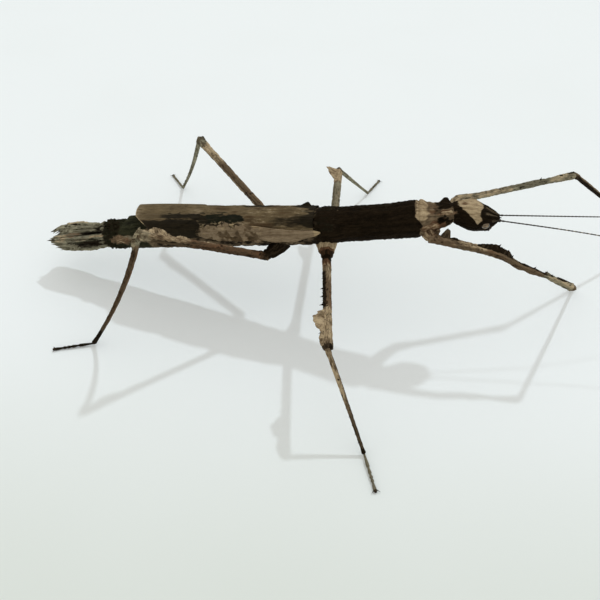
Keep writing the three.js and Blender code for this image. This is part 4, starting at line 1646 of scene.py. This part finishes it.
MID_NEAR = Arms(
    out=(-0.97, 0, 0.2), inward=0, coxa=(4.2, 2),
    girth=((0, 1.15), (0.1, 1.05), (0.3, 0.98), (0.6, 0.96), (0.85, 1), (0.96, 1.15), (1, 1.15)),
    spines=((0.27, 0.9), (0.33, 0.5), (0.385, 1.1), (0.43, 0.6), (0.47, 1.1), (0.51, 0.6), (0.555, 1.4),
            (0.845, 0.9), (0.92, 0.4)),
    lobes=(Lobe(PALE, 0.74, 11.5, 3.3, 0.35, 0.75), Lobe(DARK, 0.42, 16, 0.35, 0.6),
           Lobe(PALE, 0.9, 9, 1.5, 0.5, 0.6)),
    thigh={DARK: ((0, 0.07, 0.9), (0.2, 0.6, 0.8, 0, 62), (0.34, 0.5, 0.4, -60, 60), (0.97, 1, 0.7, 0, 400, 0.01)),
           RUST: ((0, 0.16, 0.9), (0.25, 0.62, 0.45), (0.66, 0.95, 0.35)),
           PALE: ((0.12, 0.3, 0.4), (0.61, 0.9, 0.7), (0.88, 1, 0.4))},
    shank={PALE: ((0, 0.5, 0.45, -40, 120),), DARK: ((0, 1, 0.8, 100, 60), (0.6, 1, 0.5), (0.93, 1, 0.8))},
    hip={PALE: ((0, 0.62, 0.75),), GREY: ((0, 0.5, 0.4),), DARK: ((0.75, 1, 0.6),), RUST: ((0.6, 1, 0.9),)})

MID_FAR = Arms(
    out=(-0.97, 0, 0.2), inward=0, coxa=(3.1, 1.9),
    girth=((0, 1.15), (0.3, 1.05), (0.7, 1.1), (1, 1.05)),
    spines=((0.45, 0.3), (0.6, 0.4), (0.52, 0.3)),
    lobes=(Lobe(PALE, 0.87, 9, 3.9, 0.6, 0.75, 0.95),),
    thigh={RUST: ((0.1, 0.66, 0.3),), GREY: ((0, 0.7, 0.6), (0.3, 0.7, 0.35)), PALE: ((0.74, 0.97, 0.75),),
           DARK: ((0.3, 0.72, 0.35, 0, 60), (0.96, 1, 0.6))},
    shank={GREY: ((0, 1, 0.7),), DARK: ((0, 1, 0.5, 100, 60),)},
    hip=MID_NEAR.hip)

HIND_NEAR = Arms(
    out=(-0.2, 0, 0.5), inward=0.85, coxa=(3.6, 1.7), knee_flap=2.1,
    girth=((0, 1.15), (0.12, 1), (0.6, 0.95), (0.85, 1.05), (0.97, 1.3), (1, 1.3)),
    spines=((0.35, 0.4), (0.55, 0.4), (0.45, 0.3)),
    lobes=(Lobe(PALE, 0.85, 10, 2.7, 0.62, 0.6), Lobe(PALE, 0.68, 6.5, 1.2, 0.6, 0.6),
           Lobe(PALE, 0.96, 6.5, 1.2, 0.5, 0.55), Lobe(PALE, 0.5, 8, 0.6, 0.5, 0.4)),
    thigh={DARK: ((0, 0.06, 0.7), (0.1, 0.6, 0.5, 180, 60), (0.62, 0.92, 0.6, 180, 60)),
           RUST: ((0, 0.66, 0.6), (0.66, 0.9, 0.6)), GREY: ((0.92, 1, 0.5),),
           PALE: ((0.1, 0.6, 0.3, 20, 40), (0.64, 0.94, 0.5), (0.92, 1, 0.35))},
    shank={GREY: ((0, 0.1, 0.6), (0.12, 0.8, 0.4, -100, 70)), RUST: ((0.06, 0.8, 0.5),),
           DARK: ((0.1, 1, 0.5, 60, 70), (0.85, 1, 0.8))},
    hip={RUST: ((0.3, 0.9, 0.5),), DARK: ((0, 1, 0.8),), PALE: ((0.5, 0.9, 0.4, -90, 40),)})

HIND_FAR = Arms(
    out=(-0.2, 0, 0.5), inward=0.85, coxa=(2.6, 1.9),
    girth=((0, 1.2), (0.12, 1.05), (0.6, 1.08), (0.85, 1.1), (0.94, 1.3), (0.985, 1.5), (1, 1.35)),
    spines=((0.4, 0.3), (0.6, 0.3)),
    lobes=(Lobe(PALE, 0.8, 10.5, 1.2, 0.75, 0.7),),
    thigh={RUST: ((0.05, 0.68, 0.35),), PALE: ((0.08, 0.68, 0.6, 60, 32), (0.68, 0.92, 0.65)),
           DARK: ((0.1, 0.7, 0.4, -10, 50), (0.95, 1, 0.5)), GREY: ((0.7, 1, 0.6),)},
    shank={GREY: ((0, 1, 0.8),), DARK: ((0, 1, 0.35, 60, 60),)},
    hip=HIND_NEAR.hip)


@dataclass
class Leg:
    """One leg: hip, thigh, shank, foot and claws."""

    pair: Pair
    side: int
    arms: Arms
    station: float
    hip: Place
    knee: Place
    ankle: Place
    toe: Place
    thigh: float
    shank: float
    bow: float = 0
    arch: float = 0
    sole: float = 0.35

    def __post_init__(self) -> None:
        """Puts the joints in the model's frame, and names the leg and its grain."""
        self.joints = [np.array(place) - MIDDLE for place in (self.hip, self.knee, self.ankle, self.toe)]
        self.name = f"{self.pair.value}_{'right' if self.side < 0 else 'left'}"
        self.seed = 300 + 37 * self.station + 150 * self.side
        hip, knee, *_ = self.joints
        along = unit(knee - hip)
        out = np.array([self.arms.out[0], -self.side * self.arms.inward, self.arms.out[2]])
        self.outward = unit(out - along * (out @ along))

    @staticmethod
    def striped(surface: Surface, stripes: Stripes, length: float, seed: float, zero: float = 0) -> Surface:
        """Puts marks on a limb.

        Args:
            surface: the limb.
            stripes: its marks.
            length: its length, in mm.
            seed: the start of its grain.
            zero: the turn that the marks' turns are counted from, in degrees.

        Returns:
            The limb.
        """
        share = (surface.flow[..., 0] - seed) / length
        degrees = np.degrees(np.arctan2(surface.flow[..., 2], surface.flow[..., 1])) - zero
        ragged = NOISE.layered(surface.flow * 0.9 + 13, 3)
        made: Marks = {DARK: 0.55 * rise(ragged, 0.3, 0.8)}
        for mark, rows in stripes.items():
            for stripe in (Stripe(*row) for row in rows):
                away = np.abs(around(around(degrees) - stripe.turn)) + 18 * ragged
                along = band(share + 0.02 * ragged, stripe.start - 0.01, stripe.end + 0.01, stripe.soft)
                strength = stripe.strength * along * fall(away, stripe.width - 28, stripe.width + 28)
                made[mark] = np.maximum(made.get(mark, 0), strength)
        return surface.marked(clipped(made))

    def crest(self, at: float, length: float) -> float:
        """Gives how far the thigh's lobes stand from its middle line at a share of its length."""
        swells = [(lobe, lobe.swell((at - lobe.at) * length / lobe.length)) for lobe in self.arms.lobes]
        return max((0.85 * self.thigh + lobe.rim(swell) for lobe, swell in swells if swell > 0.15), default=0)

    def thigh_parts(self) -> list[Surface]:
        """Makes the thigh with its keels, spines and lobes.

        Returns:
            The surfaces.
        """
        arms, out, seed = self.arms, self.outward, self.seed
        hip, knee = self.joints[:2]
        path = Path.through([hip + (knee - hip) * t + UP * self.arch * lift for t, lift in arms.line])
        length = path.length
        middle = path.spot(length / 2)
        zero = math.atan2(out @ middle.left, out @ middle.up)

        def radius(along: Array, turn: Array) -> Array:
            """Half the thickness: the thigh's own girth, with four rough keels.

            Args:
                along: distances along it, in mm.
                turn: turns round it, in radians.

            Returns:
                The radius, in mm.
            """
            t = along / length
            keels = 0.22 * np.clip(np.cos(4 * (turn - zero)), 0, 1) ** 3
            teeth = 0.12 * NOISE.layered(wrapped(along * 0.5 + seed, 1.6, turn) * 1.6, 3)
            return self.thigh * (np.interp(t, *zip(*arms.girth)) + keels + teeth) * rounded(t, 0.985, 0.016, 0.02)

        along = np.concatenate([np.linspace(-0.4, length * 0.98, 190), length * np.linspace(0.983, 1, 10)])
        parts = [self.striped(tube(path, along, 40, radius, seed), arms.thigh, length, seed, math.degrees(zero))]
        for order, (at, size) in enumerate(arms.spines):
            spot = path.spot(at * length)
            stand = max(self.thigh * 0.7, self.crest(at, length) - 0.3)
            spike = thorn(spot.centre + out * stand, out + 0.3 * spot.ahead, size * 1.3, 0.45 + 0.4 * size,
                          spot.ahead * size * 0.25, seed + order, flat=0.75)
            parts.append(spike.marked({DARK: 0.9}))
        for order, lobe in enumerate(arms.lobes):
            t = np.linspace(-0.5, 0.5, 60)
            frames = path.frames(lobe.at * length + t * lobe.length)
            frames.centre = frames.centre + out * self.thigh * 0.35
            rough = NOISE.over(t * lobe.length * 0.9, seed, 0, 3)
            swell = lobe.swell(t)
            height = lobe.rim(swell) * (1 + 0.22 * rough) + self.thigh * 0.5 * rise(swell, 0, 0.15)
            flap = leaf(frames, out, np.maximum(height, 0.05), 1.3, seed + 20 * order)
            lift = (flap.points - frames.centre[:, None, :]) @ out
            flap.points += (lobe.lean * lift)[..., None] * frames.ahead[:, None, :]
            spots = NOISE.layered(flap.points * 0.8, 3)
            across = unit(np.cross(frames.ahead, out))[:, None, :]
            flap.points += 0.12 * NOISE.layered(flap.points * 0.9 + 7, 2)[..., None] * across
            flap.marks = {lobe.mark: lobe.strength, GROOVE: 0.4 * rise(spots, 0.2, 0.8)}
            if lobe.mark is PALE:
                flap.marks |= {DARK: 0.3 * rise(spots, 0.3, 0.75), RUST: 0.35 * rise(-spots, -0.2, 0.5)}
            parts.append(flap)
        return parts

    def shank_parts(self) -> list[Surface]:
        """Makes the shank: edged, slimmer towards the ankle, with a small bent neck at the knee.

        Returns:
            The surfaces.
        """
        (hip, knee, ankle, _), out, seed = self.joints, self.outward, self.seed + 60
        path = Path.bow(knee, (knee + ankle) / 2 - unit(hip - knee) * self.bow, ankle)
        length = path.length

        def radius(along: Array, turn: Array) -> Array:
            """Half the thickness of the shank.

            Args:
                along: distances along it, in mm.
                turn: turns round it, in radians.

            Returns:
                The radius, in mm.
            """
            t = along / length
            neck = 0.14 * bell(t, 0.03, 0.02) - 0.12 * bell(t, 0.07, 0.03)
            keels = 0.13 * np.clip(np.cos(4 * turn + 0.6), 0, 1) ** 2
            rough = 0.08 * NOISE.layered(wrapped(along * 0.7 + self.seed, 1.2, turn) * 1.5, 3)
            girth = 1 - 0.36 * rise(t, 0, 0.9) + neck + keels + rough + 0.16 * rise(t, 0.93, 0.99) - 0.05
            return np.maximum(self.shank * girth * rounded(t, 0.99, 0.0101, 0.02), 0.12)

        along = np.concatenate([np.linspace(-0.6, length * 0.985, 150), length * np.linspace(0.99, 1, 6)])
        parts = [self.striped(tube(path, along, 28, radius, seed, 0), self.arms.shank, length, seed)]
        if self.arms.knee_flap:
            t = np.linspace(-0.06, 0.13, 50)
            swell = np.sin(np.pi * np.clip((t + 0.06) / 0.19, 0, 1)) ** 0.7
            back = knee - hip - UP * ((knee - hip) @ UP)
            flap = leaf(path.frames(t * length), back, self.arms.knee_flap * swell + 0.05, 1.2, self.seed + 45)
            parts.append(flap.marked({GREY: 0.5, PALE: 0.3}))
        for order, t in enumerate(np.arange(0.12, 0.9, 0.085)):
            spot = path.spot(t * length)
            side = unit(out - spot.ahead * (out @ spot.ahead))
            tooth = thorn(spot.centre + side * self.shank * 0.72, side + 0.8 * spot.ahead, 0.4, 0.26,
                          seed=self.seed + order)
            parts.append(tooth.marked({DARK: 0.8}))
        return parts

    def hip_part(self) -> Surface:
        """Makes the hip: a stout cone out of the trunk and a ring that carries the thigh.

        Returns:
            The surface.
        """
        body = BODY_LINE.spot(self.station)
        root = body.centre + body.left * self.side * 2.5 - body.up * 4
        hip, knee = self.joints[:2]
        path = Path.bow(root, hip + (root - hip) * 0.35 + (hip - knee) * 0.03, hip + (knee - hip) * 0.02)
        length, seed, (base, end) = path.length, self.seed + 90, self.arms.coxa

        def radius(along: Array, turn: Array) -> Array:
            """Half the thickness, folded lengthwise.

            Args:
                along: distances along it, in mm.
                turn: turns round it, in radians.

            Returns:
                The radius, in mm.
            """
            t = along / length
            folds = 0.2 * np.sin(turn * 7 + 1.3 * t) * fall(t, 0.6, 0.9) - 0.35 * bell(t, 0.78, 0.05)
            rough = 0.25 * NOISE.layered(wrapped(along, 2, turn) * 0.8, 2)
            return (base + (end - base) * t + folds + rough) * rounded(t, 0.93, 0.075, 0.05)

        limb = tube(path, np.linspace(0, length, 60), 48, radius, seed)
        return self.striped(limb, self.arms.hip, length, seed)

    def foot_parts(self) -> tuple[list[Surface], list[Surface]]:
        """Makes the foot's five joints and pad, and the two claws.

        Returns:
            The foot's surfaces and the claws' surfaces.
        """
        ankle, toe = self.joints[2:]
        path = Path.bow(ankle, (ankle + toe) / 2 + UP * 0.15, toe)
        joints = np.array([0, 0.38, 0.56, 0.68, 0.78, 1])

        def radius(along: Array, turn: Array) -> Array:
            """Half the thickness: each joint is slim at its start and padded at its end.

            Args:
                along: distances along it, in mm.
                turn: turns round it, in radians.

            Returns:
                The radius, in mm.
            """
            t = np.clip(along / path.length, 0, 1)
            number = np.clip(np.searchsorted(joints, t, side="right"), 1, 5)
            share = (t - joints[number - 1]) / (joints[number] - joints[number - 1])
            return 0.36 + 0.2 * rise(share, 0.1, 0.85) - 0.14 * rise(share, 0.93, 1) + 0.02 * np.cos(3 * turn)

        def pad_radius(away: Array, turn: Array) -> Array:
            """Half the thickness of the pad."""
            return 0.55 * np.sqrt(np.clip(1 - ((away - 0.65) / 0.68) ** 2, 0.01, 1))

        limb = tube(path, np.linspace(-0.3, path.length, 110), 20, radius, self.seed + 120, 0)
        heading = unit(toe - ankle)
        across = unit(np.cross(heading, UP))
        pad = tube(Path.bow(toe - heading * 0.3, toe + heading * 0.5 + UP * 0.1, toe + heading * 1),
                   np.linspace(0, 1.3, 12), 14, pad_radius, 4, 0)
        claws = []
        for spread in (-1, 1):
            start = toe + across * spread * 0.3 + UP * 0.12
            drop = -UP * min(0.5, max(float(start[2]) - 0.15, 0))
            claw = thorn(start, unit(heading + across * spread * 1.1 + UP * 0.25), 1.8, 0.26, drop, 3)
            claw.points[..., 2] = np.maximum(claw.points[..., 2], 0)
            claws.append(claw)
        return [limb.marked({DARK: self.sole, GREY: 0.6}), pad.marked({DARK: 0.6})], claws

    def build(self, finishes: Finishes) -> None:
        """Builds the leg and its claws.

        Args:
            finishes: the model's materials.
        """
        foot, claws = self.foot_parts()
        nodes = [f"{part}_{self.name}" for part in ("coxa", "femur", "tibia", "tarsus")]
        build(f"leg_{self.name}", [self.hip_part(), *self.thigh_parts(), *self.shank_parts(), *foot],
              finishes.skin, nodes)
        build(f"claws_{self.name}", claws, finishes.horn, [])


LEGS = (
    Leg(Pair.FORE, -1, FORE_NEAR, 156.8, (44.4, -15.2, 45.4), (92.3, -28.5, 34.6), (112.8, 6, 1),
        (104.8, 15.3, 0.5), thigh=1.5, shank=0.95, bow=0.5, arch=2.6),
    Leg(Pair.FORE, 1, FORE_FAR, 158.5, (56.3, 3.4, 47.4), (101.3, 15.1, 50.2), (137.9, 28.1, 18.4),
        (146.9, 29.5, 10.6), thigh=1.15, shank=0.95, bow=0.5),
    Leg(Pair.MID, -1, MID_NEAR, 119.6, (9.6, -10.2, 33), (8.7, -53.4, 31.7), (21, -71.9, 1),
        (23.6, -84.5, 0.5), thigh=1.32, shank=0.85, bow=-0.5),
    Leg(Pair.MID, 1, MID_FAR, 120.5, (12.6, 7, 33), (16.8, 50.6, 28.8), (32.9, 72.1, 1), (39.1, 82.5, 0.5),
        thigh=1.25, shank=0.85, bow=-0.5),
    Leg(Pair.HIND, -1, HIND_NEAR, 102.5, (-12.2, -5.5, 28.7), (-52.3, -22.7, 52.8), (-78.4, -24.1, 1),
        (-92.4, -26.6, 0.5), thigh=1.35, shank=1.05, bow=-4.4, sole=0.8),
    Leg(Pair.HIND, 1, HIND_FAR, 94.5, (-10, 11.1, 31.9), (-42.2, 53.2, 42.1), (-57.4, 76.6, 1),
        (-63.5, 87.3, 0.5), thigh=1.2, shank=1, bow=-3),
)

ANTENNAE = (
    Antenna("left", ((69, -7.6, 49.2), (105, -6.2, 47.4), (131, -3, 44.8)), ringed=0.25),
    Antenna("right", ((69, -10.2, 48.8), (104, -14.8, 45.6), (128, -19.4, 41.6)), ringed=0.9),
)


# ---- Studio ----


@dataclass
class Studio:
    """The floor, the soft light and the camera; places are in mm and turns in degrees."""

    eye: Place = (-21.2, -185.314, 185.807)
    pitch: float = 45.3
    lens: float = 38.484
    sensor: float = 36
    reach: tuple[float, float] = (0.01, 20)
    floor: float = 6
    sun_from: Place = (0.432, 0.606, 1)
    sun_power: float = 0.74
    sun_size: float = 2.2
    sun_tint: Colour = (0.89, 0.98, 1.05)
    sky: Colour = (1, 0.985, 0.95)
    sky_power: float = 0.81

    def build(self, finishes: Finishes) -> None:
        """Builds the studio.

        Args:
            finishes: the model's materials.
        """
        scene = bpy.context.scene
        bpy.ops.mesh.primitive_plane_add(size=self.floor, location=(0, 0, 0))
        floor = bpy.context.active_object
        floor.name = "floor"
        floor.data.materials.append(finishes.floor)
        lamp = bpy.data.lights.new("sun", "SUN")
        lamp.energy, lamp.angle, lamp.color = self.sun_power, math.radians(self.sun_size), self.sun_tint
        sun = bpy.data.objects.new("sun", lamp)
        x, y, z = self.sun_from
        sun.rotation_euler = (math.atan2(math.hypot(x, y), z), 0, math.atan2(y, x) + math.pi / 2)
        scene.world = bpy.data.worlds.new("sky")
        scene.world.use_nodes = True
        light = scene.world.node_tree.nodes["Background"].inputs
        light["Color"].default_value = (*self.sky, 1)
        light["Strength"].default_value = self.sky_power
        lens = bpy.data.cameras.new("camera")
        lens.lens, lens.sensor_width = self.lens, self.sensor
        lens.clip_start, lens.clip_end = self.reach
        camera = bpy.data.objects.new("camera", lens)
        camera.location = tuple(c * MM for c in self.eye)
        camera.rotation_euler = (math.radians(90 - self.pitch), 0, 0)
        for thing in (sun, camera):
            scene.collection.objects.link(thing)
        scene.camera = camera
        scene.view_settings.view_transform = "Standard"


def main() -> None:
    """Builds the model, piece by piece, and the studio round it."""
    logging.basicConfig(level=logging.INFO, format="%(name)s: %(message)s")
    finishes = Finishes()
    wings = [kind(side) for side in (-1, 1) for kind in (HindWing, Tegmen)]
    for part in (Trunk(), Eyes(), Mouth(), *ANTENNAE, *wings, *LEGS, Studio()):
        part.build(finishes)


if __name__ == "__main__":
    main()
